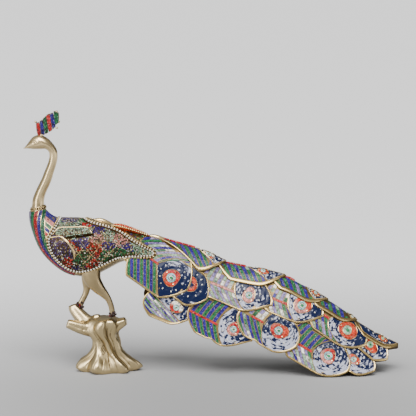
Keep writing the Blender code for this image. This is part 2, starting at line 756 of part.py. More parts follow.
def make_train():
    """Roof and feathers as one casting, cut off on the ground and clear of the body."""
    train = make_shell()
    parts = []
    for index, row in enumerate(SIDE_FEATHERS):
        for side in (-1.0, 1.0):
            parts.append(side_feather(index, row, side))
    for index, row in enumerate(RIDGE_FEATHERS):
        parts.append(ridge_feather(index, row))
    combine(train, parts, "UNION")
    reach = FIGURE_LENGTH
    ground = box_solid("ground", (-reach, -reach, -GROUND_DEPTH), (reach, reach, 0.0))
    body = ring_solid("body_clearance", oval_rings(BODY_STATIONS, BODY_RINGS, BODY_SIDES, JOINT_GAP))
    combine(train, [ground, body] + border_parts(JOINT_GAP), "DIFFERENCE")
    return finish(train, "train", BRASS)


def make_stump():
    """Trunk with flowing folds and root lobes, its branches, and seats for the feet."""
    rows = smooth_rows(STUMP_STATIONS, STUMP_RINGS)
    turn = np.linspace(0.0, 2.0 * math.pi, STUMP_SIDES, endpoint=False)
    rings = []
    for z, left, right, depth, fold in rows:
        flow = STUMP_TWIST * z / STUMP_STATIONS[-1][0]
        folds = np.cos(STUMP_FOLDS * turn + STUMP_FOLD_LEAN * flow)
        swell = 1.0 + fold * (folds + STUMP_LOBE_SHARE * np.cos(STUMP_LOBES * turn - flow))
        x = (left + right) / 2.0 + (right - left) / 2.0 * np.cos(turn) * swell
        y = depth * np.sin(turn) * swell
        rings.append(np.stack([x, y, np.full_like(x, max(z, 0.0))], axis=-1) * UNIT)
    stump = ring_solid("stump_core", rings)
    parts = [tube("branch", row, len(row) + 2, LEG_SIDES) for row in STUMP_BRANCHES]
    combine(stump, parts, "UNION")
    combine(stump, leg_parts(JOINT_GAP), "DIFFERENCE")
    return finish(stump, "tree_stump", OLD_BRASS)


def main():
    clear_scene()
    make_stump()
    make_body()
    make_neck()
    make_crest_stones()
    make_train()


main()
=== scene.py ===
"""Finish of the brass peacock: satin castings set with stone tiles, chips, beads and pins.

Lengths in the tables are in drawn units, 670 of them from beak to train tip, as in the part's source.
X runs from the beak (-X) to the train tip (+X), Y runs across, and the near flank faces -Y.
"""

import math

import bmesh
import bpy
import numpy as np
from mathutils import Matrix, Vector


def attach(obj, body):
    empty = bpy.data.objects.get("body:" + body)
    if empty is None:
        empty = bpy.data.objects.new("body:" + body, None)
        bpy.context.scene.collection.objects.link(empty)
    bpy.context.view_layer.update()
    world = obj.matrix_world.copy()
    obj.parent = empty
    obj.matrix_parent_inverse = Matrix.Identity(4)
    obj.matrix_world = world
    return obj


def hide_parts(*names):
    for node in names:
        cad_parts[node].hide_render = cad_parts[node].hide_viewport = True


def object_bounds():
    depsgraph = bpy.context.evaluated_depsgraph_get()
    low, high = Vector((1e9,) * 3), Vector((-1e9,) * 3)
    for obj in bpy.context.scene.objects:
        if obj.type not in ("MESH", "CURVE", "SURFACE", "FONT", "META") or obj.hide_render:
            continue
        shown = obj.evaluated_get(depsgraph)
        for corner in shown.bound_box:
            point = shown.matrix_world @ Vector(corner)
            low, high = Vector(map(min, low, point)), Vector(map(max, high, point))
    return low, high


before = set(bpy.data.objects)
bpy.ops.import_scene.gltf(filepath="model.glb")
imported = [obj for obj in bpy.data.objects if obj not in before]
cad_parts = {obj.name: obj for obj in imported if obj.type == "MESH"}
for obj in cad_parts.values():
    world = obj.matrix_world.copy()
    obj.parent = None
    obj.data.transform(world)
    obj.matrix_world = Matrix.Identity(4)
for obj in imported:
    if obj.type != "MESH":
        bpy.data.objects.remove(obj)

bl_info = {
    "name": "Inlaid brass peacock",
    "version": (1, 0, 0),
    "blender": (4, 5, 0),
    "location": "3D View > Sidebar > Peacock",
    "description": "Dresses the peacock's solids with cast brass, stone tiles, chips and beads",
    "category": "Object",
}

CAD_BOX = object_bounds()
UNIT = (CAD_BOX[1][0] - CAD_BOX[0][0]) / 670.0
SIDES = (-1.0, 1.0)
SAMPLES = 160
FLANK_SAMPLES = 400

# Body, neck and head: lower and upper edge of each station (x, z, x, z) and half width
BODY_STATIONS = (
    (-325, 288, -296, 292.5, 15),
    (-324.5, 272, -289, 284, 20),
    (-319, 250, -277, 277.5, 27),
    (-307, 221, -264, 277, 35),
    (-288, 198, -250, 277, 40.5),
    (-264, 180, -235, 276.5, 43.5),
    (-238, 172, -220, 275, 44.5),
    (-211, 174, -203, 273, 44),
    (-186, 185, -185, 268, 42),
    (-163, 197, -167, 261, 38.5),
    (-142, 202, -148, 252, 36),
    (-124, 204, -126, 240.5, 33),
    (-110, 206, -111, 230, 31),
    (-99, 210, -100, 221, 26),
    (-95, 214, -95, 217.5, 14),
)
NECK_STATIONS = (
    (-323, 288, -296, 293, 13.5),
    (-321, 299, -299, 301, 11.6),
    (-319, 312, -298, 313, 10.4),
    (-312, 329, -294, 325, 9.8),
    (-304, 345, -287, 340, 9.2),
    (-297, 362, -281, 359, 8.6),
    (-291, 377, -276, 375, 8.4),
    (-289, 389, -274, 389, 8.6),
    (-290.5, 396, -276, 400, 9.4),
    (-296, 400, -284, 412, 10.6),
    (-303, 400, -294, 421, 11.4),
    (-311, 400, -305, 425.2, 11.2),
    (-318, 400, -315.5, 423, 9.2),
    (-323, 400.6, -322.5, 416.5, 6.4),
    (-328, 401, -328, 409, 3.6),
    (-332, 401, -331.5, 404.6, 2),
    (-335, 400.8, -335, 402, 0.8),
)

# Beaded border on each flank (x, z), from the top of the back round the breast and belly to the back
BORDER_LINE = (
    (-271, 277.5), (-274, 272), (-279, 264), (-286, 252), (-290, 241),
    (-285, 224), (-274, 205), (-261, 193), (-248, 186), (-232, 184),
    (-212, 189), (-190, 199), (-168, 209), (-145, 213), (-122, 211.5),
    (-109, 211.5), (-102.5, 215.5), (-105, 221.5), (-116, 227), (-131, 234.5),
    (-145, 243), (-160, 253), (-178, 261), (-198, 267), (-216, 271.5),
    (-226, 275.5),
)

# Colour patches of the chip mosaic: x, z, half length, half height, tilt in degrees, colour
CHIP_PATCHES = (
    (-269, 229, 23, 19, 0, "violet"),
    (-255.7, 202, 8, 10, 0, "coral"),
    (-234, 205, 9, 8, 0, "malachite"),
    (-235, 191, 11, 4, 0, "lapis"),
    (-249.5, 236.5, 20, 4, -35, "coral"),
    (-230, 238, 13, 8, 0, "lapis"),
    (-206.7, 225.6, 12, 14, 0, "coral"),
    (-226, 213, 13, 10, 0, "malachite"),
    (-211, 199.5, 10, 8, 20, "coral"),
    (-202, 260, 10, 7, -15, "lapis"),
    (-242, 260, 29, 12, 0, "mint"),
    (-224.5, 267, 12, 4, 0, "coral"),
    (-251, 275, 12, 4, 0, "violet"),
    (-229, 275, 8, 5, 0, "malachite"),
    (-203, 243.6, 10, 9, 0, "rose"),
    (-183.5, 250.8, 9, 8, -25, "mint"),
    (-163, 241.8, 10, 8, -30, "rose"),
    (-184.4, 232, 10, 6, 0, "lapis"),
    (-150.3, 230.3, 10, 4.5, -20, "lapis"),
    (-178.2, 214.8, 24, 11, 0, "malachite"),
    (-122, 222, 16, 5, -25, "mint"),
)

# Cast lines on each flank: stations of x, z and radius, and the wing's crevice from end to end
WING_LINES = (
    ((-296, 243, 0.8), (-280, 247.6, 1), (-267, 248.4, 1.5), (-256, 240.5, 2.2),
     (-247.7, 230.2, 2.4), (-243.4, 219.4, 2.2), (-243.4, 209, 1)),
    ((-282, 252, 0.7), (-271.4, 262.6, 1), (-253, 264, 1.1), (-222, 263.5, 1.2),
     (-214, 255.6, 1), (-212, 252.5, 0.6)),
)

# Thin cast lines that cross the mosaic: x and z of both ends
LATTICE_LINES = (
    (-249.5, 240.9, -221, 195.9), (-235.2, 244.5, -201.3, 203.1), (-217.4, 250, -174.6, 212.1),
    (-192.4, 255.3, -153.2, 224.7), (-214.5, 247, -241, 214), (-188.9, 242.7, -228.1, 199.5),
    (-167.5, 233.7, -196, 204.9),
)
CREVICE_ENDS = ((-262, 246.5), (-211, 252.5))
WING_LOBE = (-268, 228, 24, 21)
WING_TIP_START = -168.0
WING_TIP_COVER = 3.8

# Strips of the breast, by their distance round from the front, and the slanted ones above them
BREAST_STRIPS = ((0, 11.5, "violet"), (11.5, 19, "malachite"), (19, 26.5, "coral"),
                 (26.5, 34, "lapis"), (34, 42.5, "malachite"))
SLANT_TURN = -36.0
SLANT_PITCH = 6.6
SLANT_TINTS = ("malachite", "lapis", "rose", "malachite", "lapis", "coral", "malachite", "mint")

# Legs: centre x, y, z and radius of each station; -Y is the near leg
NEAR_LEG = (
    (-215, -15, 192, 19), (-215, -16, 178, 17), (-211, -16, 165, 14.5),
    (-202, -15, 152, 11), (-193, -15, 142.5, 8), (-185, -15, 132, 5.6),
    (-180, -15, 119, 5), (-177.5, -15, 105, 5.2),
)
FAR_LEG = (
    (-222, 14, 192, 16), (-222.5, 15, 175, 13), (-224, 15, 158, 9.6),
    (-225, 15, 146, 6.6), (-228, 15, 135, 5.4), (-233, 14, 125, 5.2),
    (-237, 13, 117, 5.4),
)
FOOT_STONES = 46

# Train: ridge height, nominal depth of the roof, half spread and roundness along X
TRAIN_RIDGE = (
    (-152, 256.5), (-111, 244), (-80, 234), (-30, 218), (0, 206), (23, 194),
    (59, 185), (90, 179), (129, 168), (158, 152), (206, 124), (244, 97),
    (289, 66), (331, 43),
)
TRAIN_DEPTH = (
    (-152, 76), (-110, 106), (-60, 128), (0, 138), (60, 140), (130, 142),
    (170, 138), (209, 119), (244, 93), (289, 64), (331, 44),
)
TRAIN_SPREAD = (
    (-152, 43), (-110, 46), (-60, 49), (0, 54), (60, 57), (130, 60),
    (190, 61), (244, 57), (289, 48), (331, 34),
)
TRAIN_ROUNDNESS = ((-152, 2.6), (-60, 2.3), (60, 2.05), (331, 2))
TRAIN_HEM = (
    (-152, 212), (-138, 194), (-124, 175), (-112, 160), (-103, 142),
    (-90, 124), (-39, 106), (-19, 88), (0, 72), (25, 66), (69, 66),
    (88, 66), (108, 58), (134, 58), (150, 44), (168, 24), (188, 13),
    (262, 9), (280, 18), (296, 31), (312, 42), (326, 43.5),
)
TRAIN_ENDS = (-152, 326)
TRAIN_WALL = 4.5
RIDGE_EASE = 0.08
RIDGE_WIDTH = 2.8
RIDGE_EDGE_SHARE = 0.8
EDGE_LIFT = 1.6
FIELD_DEPTH = 0.5
PLATE_DEPTH = 2.7
TUCK_DEPTH = 2.8

# Foot and top of the tiles over the cast surface, of the barbs and of the breast, and room by the beads
TILE_FOOT = -1.3
BARB_TOP = -0.12
STRIP_FOOT = -0.8
BORDER_ROOM = 3.6
STRIP_TOP = 1.15
SLANT_TOP = 1.0

# Coral band and brass pods along the top of the back: x, z
SADDLE_LINE = ((-184, 263), (-172, 260.5), (-160, 257.5), (-140, 252), (-112, 244.6))
SADDLE_PODS = (((-213, 273), (-196, 271.6), (-173, 262.5)),
               ((-112, 245.5), (-96, 241), (-78, 234.5)))

# Stump: height, left and right edge, half depth and depth of the folds at each station
STUMP_STATIONS = (
    (0, -231, -142, 38, 0.12), (7, -242, -133, 43, 0.13),
    (17, -238, -139, 41, 0.15), (28, -224, -153, 34, 0.15),
    (40, -215, -162, 29, 0.13), (54, -214, -166, 27, 0.12),
    (66, -222, -170, 29, 0.11), (76, -229, -167, 31, 0.1),
    (86, -228, -163, 31, 0.09), (94, -220, -166, 27, 0.07),
    (98, -208, -174, 16, 0.04),
)
STUMP_FOLDS = 7
STUMP_LOBES = 3
STUMP_TWIST = 0.9
STUMP_LINES = 26
STUMP_BRANCHES = (
    ((-206, 0, 78, 17), (-226, 6, 87, 14), (-240, 10, 100.5, 12),
     (-248, 12, 110.5, 10), (-250.5, 12, 117, 7.5)),
    ((-206, -6, 72, 13), (-232, -12, 79, 11.5), (-252, -16, 86, 9),
     (-259, -17, 88.5, 7.5)),
    ((-186, -4, 74, 14), (-170, -8, 84, 11.5), (-158, -10, 90, 8.5),
     (-153.5, -11, 91.5, 6.5)),
    ((-205, -2, 84, 13), (-207, -3, 95, 10), (-208, -3, 102, 6)),
)
KNOT = (-194, 42, 5, 9)

# Crest: the corners of each stone (x, z) from its foot at the left round to its top at the left
CREST_STONES = (
    ((-309.3, 426), (-303.6, 425.4), (-306.3, 447.2), (-311.7, 445.8)),
    ((-302.4, 425.2), (-296.8, 426.9), (-300.6, 451.6), (-305.2, 449)),
    ((-295.6, 427.7), (-290.4, 430.5), (-294, 458.6), (-299.8, 453)),
    ((-289.2, 431.5), (-283.6, 434.5), (-288, 462.6), (-293.4, 459.8)),
    ((-282.4, 435.5), (-277.4, 441.5), (-282, 464.2), (-287.2, 462)),
    ((-278, 443.5), (-272.2, 448), (-271.8, 464), (-280.4, 467.2)),
)
CREST_LOOKS = (("red_stone", "coral"), ("blue_stone", "lapis"), ("green_stone", "malachite"))
CREST_PINS = ((-312.8, 448.6), (-275.4, 467.2), (-271.6, 448.6), (-275.2, 437.8))

# Stage, in metres, watts and degrees: lights with place, width, height and power, and the camera
FLOOR_RADIUS = 40.0
SIDE_LIGHTS = (("left_light", (-1.3, -1.2, 0.8), 0.5, 1.6, 20.0),
               ("right_light", (1.5, -0.8, 0.6), 0.5, 1.4, 6.0))
CAMERA_AIM = (-0.0071, 0.0, 0.2944)
CAMERA_DISTANCE = 4.0
CAMERA_ELEVATION = 8.0
SENSOR_WIDTH = 36.0
PHOTO_SIDE = 416.0
PIXEL_WIDTH = 0.001782


def leaf(name, root, tip, width, **details):
    """One feather of a flank, its outline in drawn units and the looks of its barbs and its eye.

    Along it runs a, from 0 at the root to 1 at the tip, and aside b, from -1 above to 1 below.
    """
    # The barbs' pale shares and the eye glass's pale amount and turn are painted reflection: pale tiles
    # and flecks standing in for the sheen of light on the glossy inlay.
    looks = {
        "split": 0.45, "split_tilt": 0.08, "split_bend": 0.12,
        "lean": (0.1, 0.6), "bend": (0.004, 0.006), "pale": (0.1, 0.1),
        "spine": 0.0, "spine_span": (0.1, 0.45), "spine_tint": "coral",
        "ring": (0.66, 0.0, 14.0, 12.5), "ring_tints": ("ember", "ember"), "ring_point": (0.0, 0.0),
        "shell": False, "frost": 0.15, "frost_turn": 90.0, "base": 1.2, "rise": 4.2, "pitch": 7.0,
        "full": (0.75, 0.75), "wide": (1.0, 1.0), "close": (0.60, 1.8), "open": (0.22, 0.5),
        "notch": 0.0, "split_kink": 0.0, "eye_top": 9.0,
    }
    unknown = set(details) - set(looks)
    if unknown:
        raise ValueError("a feather has no detail named %s" % sorted(unknown))
    looks.update(details)
    length = math.hypot(tip[0] - root[0], tip[1] - root[1])
    heading = ((tip[0] - root[0]) / length, (tip[1] - root[1]) / length)
    looks.update(name=name, root=root, length=length, half=width / 2.0, heading=heading, hang=None)
    return looks


def ridge_leaf(name, root_x, tip_x, hang, **details):
    """One feather folded over the ridge, whose edges hang below it by the drop named hang."""
    looks = leaf(name, (root_x, 0.0), (tip_x, 0.0), hang * RIDGE_WIDTH, **details)
    looks["hang"] = hang
    return looks


# Feathers from the ground up; a later one lies on the earlier ones
FEATHERS = (
    leaf("low_4", (220, 47), (288, 7), 43, split=0.1, ring=(0.45, 0, 11.5, 8),
         ring_tints=("rose", "ember"), frost=0.45, frost_turn=85, pale=(0.2, 0.5), wide=(1.2, 1),
         full=(0.55, 1)),
    leaf("low_3", (131, 76), (243, 11), 67, split=0.44, split_tilt=0, split_bend=0.2,
         lean=(0.12, 0.8), pale=(0.03, 0.94), spine=0.13, spine_span=(0.12, 0.43),
         ring=(0.65, -0.1, 13, 13.5), ring_tints=("rose", "coral"), frost=0.46, frost_turn=70,
         wide=(1.12, 1), full=(0.6, 0.7), open=(0.16, 0.5)),
    leaf("low_0", (-122, 139), (-35, 103), 49, split=0.5, split_tilt=0.6, split_bend=0,
         lean=(-0.6, 1.5), pale=(0.3, 0.6), spine=-1.25, spine_span=(0, 0),
         ring=(0.64, -0.3, 12, 9), ring_tints=("coral", "cream"), ring_point=(0.35, -100),
         frost=0.42, frost_turn=125, base=0.8, rise=1.6, wide=(1.3, 1), full=(0.6, 1.1)),
    leaf("low_1", (-42, 121), (71, 63), 65, split=0.47, split_tilt=0.07, split_bend=0.13,
         lean=(0.09, 0.58), pale=(0, 0.12), spine=0.05, spine_span=(0.02, 0.46),
         ring=(0.69, -0.12, 10.5, 12), ring_tints=("rose", "coral"), ring_point=(0.22, -60),
         frost=0.44, frost_turn=150, rise=2.6, wide=(1.25, 1), full=(0.5, 1.25), notch=0.1),
    leaf("low_2", (46, 114), (151, 55), 59, split=0.41, split_tilt=0.05, split_bend=0.1,
         lean=(0.2, 0.75), pale=(0.5, 0.2), spine=-0.2, spine_span=(0.2, 0.4),
         ring=(0.65, -0.22, 14.5, 12.5), ring_tints=("coral", "ember"), ring_point=(0.28, -15),
         frost=0.42, frost_turn=60, base=3.2, rise=3, wide=(1.25, 1.05), full=(0.45, 0.7),
         notch=0.08, close=(0.68, 1.8)),
    leaf("mid_4", (250, 79), (312, 24), 36, split=0.08, ring=(0.5, 0.05, 12.5, 9.5),
         ring_point=(0.3, 20), shell=True, frost=0.22, frost_turn=40, wide=(1.2, 1),
         full=(0.75, 0.95), close=(0.72, 1.4)),
    leaf("mid_3", (172, 121), (274, 51), 54, split=0.345, split_tilt=0, split_bend=0.35,
         lean=(0.6, 0.65), pale=(0.15, 0.35), spine=-0.09, spine_span=(0.16, 0.34),
         ring=(0.65, -0.08, 16, 13), ring_point=(0.2, -10), shell=True, frost=0.33,
         frost_turn=125, wide=(1.1, 1), full=(0.6, 0.8)),
    leaf("mid_2", (82, 151), (198, 103), 56, split=0.45, lean=(0.05, 0.6),
         pale=(0.85, 0.8), spine=0.13, spine_span=(0.12, 0.46),
         ring=(0.65, -0.1, 14.5, 13), ring_tints=("rose", "ember"), ring_point=(0.22, -15),
         frost=0.42, frost_turn=150, wide=(1.15, 1), full=(0.65, 1), close=(0.62, 1.6)),
    leaf("mid_1", (-28, 181), (107, 124), 59, split=0.5, split_tilt=0.09, split_bend=0.14,
         lean=(0.05, 0.75), bend=(0.004, 0.014), pale=(0.9, 0.93), spine=0.15,
         spine_span=(0.05, 0.51), spine_tint="rose", ring=(0.69, -0.01, 10.5, 14),
         ring_tints=("rose", "rose"), frost=0.38, wide=(1.2, 1), full=(0.6, 1.25), close=(0.64, 1.8)),
    leaf("shoulder", (-160, 238), (-60, 226), 66, split=1.5, lean=(0.6, 0.6),
         bend=(0.012, 0), pale=(0.28, 0), spine=0.9, spine_span=(0, 0), open=(0.1, 0.5),
         base=0.6, rise=0.6, ring=(0.5, 0, 1, 1)),
    leaf("mid_0_under", (-83, 192), (-9, 136), 65, split=0.1,
         ring=(0.56, -0.1, 13, 13.5), frost=0.1, full=(0.7, 0.85), close=(0.68, 1.6)),
    leaf("mid_0", (-143, 224), (-43, 153), 80, split=0.45, split_tilt=0.245,
         split_bend=0, split_kink=0.535, eye_top=0.85, lean=(0.35, 0.7), bend=(0.024, 0),
         pale=(0.6, 0.06), spine=-0.16,
         spine_span=(0.1, 0.44), ring=(0.7, 0, 14, 15), ring_tints=("ember", "coral"),
         ring_point=(0.1, -45), frost=0.16, frost_turn=-80, full=(0.6, 0.85),
         wide=(1.3, 1.04), close=(0.68, 1.5), open=(0.14, 0.5)),
    ridge_leaf("ridge_5", 250, 335, 14, split=0.08, ring=(0.62, 0.45, 9, 4.5), shell=True,
               frost=0.15, spine_span=(0, 0)),
    ridge_leaf("ridge_4", 165, 258, 17, split=0.8, ring=(0.88, 0.3, 3.5, 3), frost=0.1,
               lean=(0.1, 0.1), spine_span=(0, 0)),
    ridge_leaf("ridge_3", 96, 206, 20, split=0.62, split_tilt=0.12, ring=(0.78, 0.3, 8, 5),
               frost=0.3, lean=(0.2, 0.2)),
    ridge_leaf("ridge_2", 2, 131, 24, split=0.46, split_tilt=0.3, ring=(0.68, 0.28, 13, 7.5),
               frost=0.3, lean=(0.25, 0.25), spine_span=(0.15, 0.45)),
    ridge_leaf("ridge_1", -100, 24, 31, split=0.56, split_tilt=0.34, ring=(0.74, 0.3, 12, 8),
               ring_tints=("ember", "cream"), frost=0.3, lean=(0.25, 0.25), spine_span=(0, 0.55),
               open=(0.6, 0.9)),
)
SPREAD_FROM = {one["name"]: place for place, one in enumerate(FEATHERS)}


def length_property(label, description, default, low, high):
    """Length property of the inlay or of a cast detail."""
    return bpy.props.FloatProperty(name=label, description=description, default=default, min=low,
                                   max=high, precision=4, unit="LENGTH")


class PeacockSizes(bpy.types.PropertyGroup):
    """Sizes of the inlay and of the cast details, each a real length."""

    bead_pitch: length_property("Bead pitch", "Distance between the beads of the border",
                                0.0053, 0.003, 0.010)
    chip_pitch: length_property("Chip pitch", "Distance between the chips of the body's mosaic",
                                0.0024, 0.0015, 0.006)
    chip_size: length_property("Chip size", "Width of a chip of the body's mosaic",
                               0.0018, 0.001, 0.005)
    tile_length: length_property("Tile length", "Length of the tiles along a barb",
                                 0.0075, 0.003, 0.020)
    tile_gap: length_property("Tile gap", "Width of the metal line between two barbs",
                              0.0010, 0.0003, 0.003)
    rim_width: length_property("Rim width", "Width of the raised rim round a feather",
                               0.0022, 0.001, 0.006)
    stump_grain: length_property("Stump grain", "Mesh width of the stump's skin",
                                 0.0012, 0.0008, 0.004)


def stone_colour(label, colour):
    """Colour property of one stone."""
    return bpy.props.FloatVectorProperty(
        name=label, description="Colour of the %s" % label.lower(), subtype="COLOR",
        size=3, min=0.0, max=1.0, default=colour)


class PeacockColours(bpy.types.PropertyGroup):
    """Colours of the metals and the stones."""

    brass: stone_colour("Satin brass", (0.56, 0.43, 0.23))
    # Dark brass: the patina of the recesses, and also the painted shade under the feather plates and on
    # the band under the border's beads.
    patina_and_shade_brass: stone_colour("Brass in the recesses", (0.05, 0.028, 0.010))
    stump_brass: stone_colour("Stump brass", (0.55, 0.43, 0.23))
    bead_brass: stone_colour("Bead brass", (0.70, 0.52, 0.25))
    lapis: stone_colour("Lapis blue", (0.018, 0.009, 0.15))
    malachite: stone_colour("Malachite green", (0.010, 0.095, 0.034))
    coral: stone_colour("Coral red", (0.36, 0.012, 0.012))
    ember: stone_colour("Ember orange", (0.38, 0.030, 0.010))
    rose: stone_colour("Rose pink", (0.50, 0.18, 0.16))
    violet: stone_colour("Violet", (0.055, 0.036, 0.12))
    # Pale mint and pale lilac serve the barbs' pale tiles, a painted reflection of light on glossy stone;
    # mint also colours mosaic patches, slanted strips and some eye discs.
    mint: stone_colour("Pale mint", (0.17, 0.27, 0.18))
    painted_sheen_lilac: stone_colour("Pale lilac", (0.17, 0.135, 0.30))
    cream: stone_colour("Cream shell", (0.62, 0.60, 0.53))
    turquoise: stone_colour("Turquoise", (0.22, 0.42, 0.44))
    navy: stone_colour("Navy glass", (0.003, 0.008, 0.036))
    jet: stone_colour("Jet black", (0.012, 0.010, 0.012))
    floor: stone_colour("Floor", (0.84, 0.84, 0.84))


def curve(rows, share):
    """Places on a smooth line through rows of numbers; a share runs from 0 to 1 over all of them.

    Between two rows it is the Catmull-Rom cubic of the rows before, at, after and beyond.
    """
    table = np.asarray(rows, dtype=float)
    last = len(table) - 1
    place = np.clip(share, 0.0, 1.0) * last
    left = np.minimum(place.astype(int), last - 1)
    part = (place - left)[..., None]
    before = table[np.maximum(left - 1, 0)]
    start = table[left]
    end = table[left + 1]
    after = table[np.minimum(left + 2, last)]
    return 0.5 * (
        2.0 * start
        + (end - before) * part
        + (2.0 * before - 5.0 * start + 4.0 * end - after) * part**2
        + (3.0 * start - before - 3.0 * end + after) * part**3
    )


def smooth_rows(rows, count):
    """Rows of numbers made denser, at equal shares of the smooth line through them."""
    return curve(rows, np.linspace(0.0, 1.0, count))


def full_turn(count):
    """Equal steps of angle once round."""
    return np.linspace(0.0, 2.0 * math.pi, count, endpoint=False)


def unit_rows(vectors):
    """Vectors of length 1, with the same directions."""
    size = np.linalg.norm(vectors, axis=-1, keepdims=True)
    return vectors / np.maximum(size, 1e-9)


def ripple(points, size, seed):
    """Smooth waves from about -1 to 1: the mean of sines in 14 directions, about a size long."""
    dice = np.random.default_rng(seed)
    heading = unit_rows(dice.normal(size=(14, 3)))
    waves = heading * (2.0 * math.pi / size) * dice.uniform(0.6, 1.5, (14, 1))
    phase = dice.uniform(0.0, 2.0 * math.pi, 14)
    return np.sin(points @ waves.T + phase).mean(axis=-1) * 2.2


def smooth_step(low, high, value):
    """0 below low, 1 above high, and 3t^2 - 2t^3 between."""
    part = np.clip((value - low) / (high - low), 0.0, 1.0)
    return part * part * (3.0 - 2.0 * part)


def grid_quads(rows, columns, close_rows=False, close_columns=False):
    """Corner numbers of each cell of a grid of points that is stored row by row."""
    row = np.arange(rows if close_rows else rows - 1)
    column = np.arange(columns if close_columns else columns - 1)
    here, there = np.meshgrid(row, column, indexing="ij")
    down = (here + 1) % rows
    aside = (there + 1) % columns
    corners = (here * columns + there, here * columns + aside, down * columns + aside,
               down * columns + there)
    return np.stack(corners, axis=-1).reshape(-1, 4)


def shape(points, quads=None, triangles=None, tint=(1.0, 1.0, 1.0), wear=0.0):
    """A bare mesh: points, faces of four and of three corners, and each point's tint and an amount that
    holds rubbing and patina, and also painted shade and painted reflection.
    """
    points = np.asarray(points, dtype=float).reshape(-1, 3)
    quads = np.zeros((0, 4), int) if quads is None else np.asarray(quads, int).reshape(-1, 4)
    triangles = np.zeros((0, 3), int) if triangles is None else np.asarray(triangles, int).reshape(-1, 3)
    tint = np.broadcast_to(np.asarray(tint, dtype=float), (len(points), 3))
    wear = np.broadcast_to(np.asarray(wear, dtype=float), (len(points),))
    return points, quads, triangles, tint, wear


def joined(shapes):
    """Several bare meshes as one."""
    shift = 0
    parts = []
    for points, quads, triangles, tint, wear in shapes:
        parts.append((points, quads + shift, triangles + shift, tint, wear))
        shift += len(points)
    return tuple(np.concatenate([part[place] for part in parts]) for place in range(5))


def tube_shape(rings, tint=(1.0, 1.0, 1.0), wear=0.0, closed=False):
    """Skin through rings of equal point count; an open one ends in a fan to each end ring's centre."""
    count, sides = rings.shape[:2]
    points = rings.reshape(-1, 3)
    quads = grid_quads(count, sides, close_rows=closed, close_columns=True)
    if closed:
        return shape(points, quads, None, tint, wear)
    side = np.arange(sides)
    after = (side + 1) % sides
    first = np.stack([np.full(sides, count * sides), after, side], axis=-1)
    base = (count - 1) * sides
    last = np.stack([np.full(sides, count * sides + 1), base + side, base + after], axis=-1)
    points = np.concatenate([points, rings[0].mean(axis=0)[None], rings[-1].mean(axis=0)[None]])
    if np.ndim(wear):
        wear = np.concatenate([np.ravel(wear), [0.5, 0.5]])
    return shape(points, quads, np.concatenate([first, last]), tint, wear)


def path_rings(path, radii, sides, guide=(0.0, 1.0, 0.0), flat=1.0, closed=False):
    """Oval rings square to a path: radius * (cos t * first + flat * sin t * second)."""
    path = np.asarray(path, dtype=float)
    if closed:
        along = np.roll(path, -1, axis=0) - np.roll(path, 1, axis=0)
    else:
        along = np.gradient(path, axis=0)
    along = unit_rows(along)
    guide = np.broadcast_to(np.asarray(guide, dtype=float), path.shape)
    first = unit_rows(np.cross(along, guide))
    second = unit_rows(np.cross(along, first))
    turn = full_turn(sides)[None, :, None]
    radii = np.broadcast_to(radii, (len(path),))[:, None, None]
    return path[:, None] + radii * (np.cos(turn) * first[:, None] + flat * np.sin(turn) * second[:, None])


def limb_rings(stations, count, sides, flat=1.0):
    """Rings of a round limb through stations of centre and radius."""
    rows = smooth_rows(stations, count)
    return path_rings(rows[:, :3], rows[:, 3], sides, flat=flat)


def rope(path, radius, sides=6, guide=(0.0, 1.0, 0.0), wear=0.0):
    """Rope of one radius along a closed path."""
    return tube_shape(path_rings(path, radius, sides, guide, closed=True), wear=wear, closed=True)


def ball(rows, sides):
    """Unit ball as a bare grid: rows of latitude between its two poles."""
    down = np.linspace(0.0, math.pi, rows + 2)[1:-1]
    turn = full_turn(sides)
    rings = np.stack([
        np.sin(down)[:, None] * np.cos(turn),
        np.sin(down)[:, None] * np.sin(turn),
        np.cos(down)[:, None] * np.ones(sides),
    ], axis=-1)
    points, quads, triangles, _, _ = tube_shape(rings)
    points = points.copy()
    points[-2] = (0.0, 0.0, 1.0)
    points[-1] = (0.0, 0.0, -1.0)
    return points, quads, triangles


def loft_grid(rows, sides):
    """Share along a loft and turn round it for each point of its skin."""
    return np.meshgrid(np.linspace(0.0, 1.0, rows), full_turn(sides), indexing="ij")


def scattered(template, centres, first, second, third, tints, wear=0.0):
    """Copies of a template, each with its centre and half axes: c + x*first + y*second + z*third."""
    points, quads, triangles = template
    count = len(centres)
    if not count:
        return shape(np.zeros((0, 3)))
    spread = (
        centres[:, None]
        + points[None, :, 0:1] * first[:, None]
        + points[None, :, 1:2] * second[:, None]
        + points[None, :, 2:3] * third[:, None]
    )
    shift = (np.arange(count) * len(points))[:, None, None]
    tints = np.repeat(np.broadcast_to(tints, (count, 3)), len(points), axis=0)
    wear = np.repeat(np.broadcast_to(wear, (count,)), len(points))
    return shape(spread, quads[None] + shift, triangles[None] + shift, tints, wear)


def level_balls(template, centres, half_axes):
    """Copies of a template with the same half axes along X, Y and Z."""
    axes = (np.tile(axis, (len(centres), 1)) for axis in np.diag(half_axes))
    return scattered(template, centres, *axes, (1.0, 1.0, 1.0))


def cushion():
    """Unit square cushion with a bevelled top, from z = -1 at its foot to z = 1 on top."""
    square = np.array([(-1.0, -1.0), (1.0, -1.0), (1.0, 1.0), (-1.0, 1.0)])
    layers = ((1.0, -1.0), (1.0, 0.55), (0.74, 1.0))
    points = np.concatenate([np.column_stack([square * scale, np.full(4, z)]) for scale, z in layers])
    quads = np.concatenate([grid_quads(3, 4, close_columns=True), [(3, 2, 1, 0), (8, 9, 10, 11)]])
    return points, quads, np.zeros((0, 3), int)


def point_normals(points, quads, triangles):
    """Unit normal at each point: the sum of the normals of the faces round it."""
    faces = np.concatenate([quads, np.column_stack([triangles, triangles[:, 2]])])
    first = points[faces[:, 2]] - points[faces[:, 0]]
    second = points[faces[:, 3]] - points[faces[:, 1]]
    facing = np.cross(first, second)
    total = np.zeros_like(points)
    for corner in range(4):
        for axis in range(3):
            total[:, axis] += np.bincount(faces[:, corner], facing[:, axis], len(points))
    return unit_rows(total)


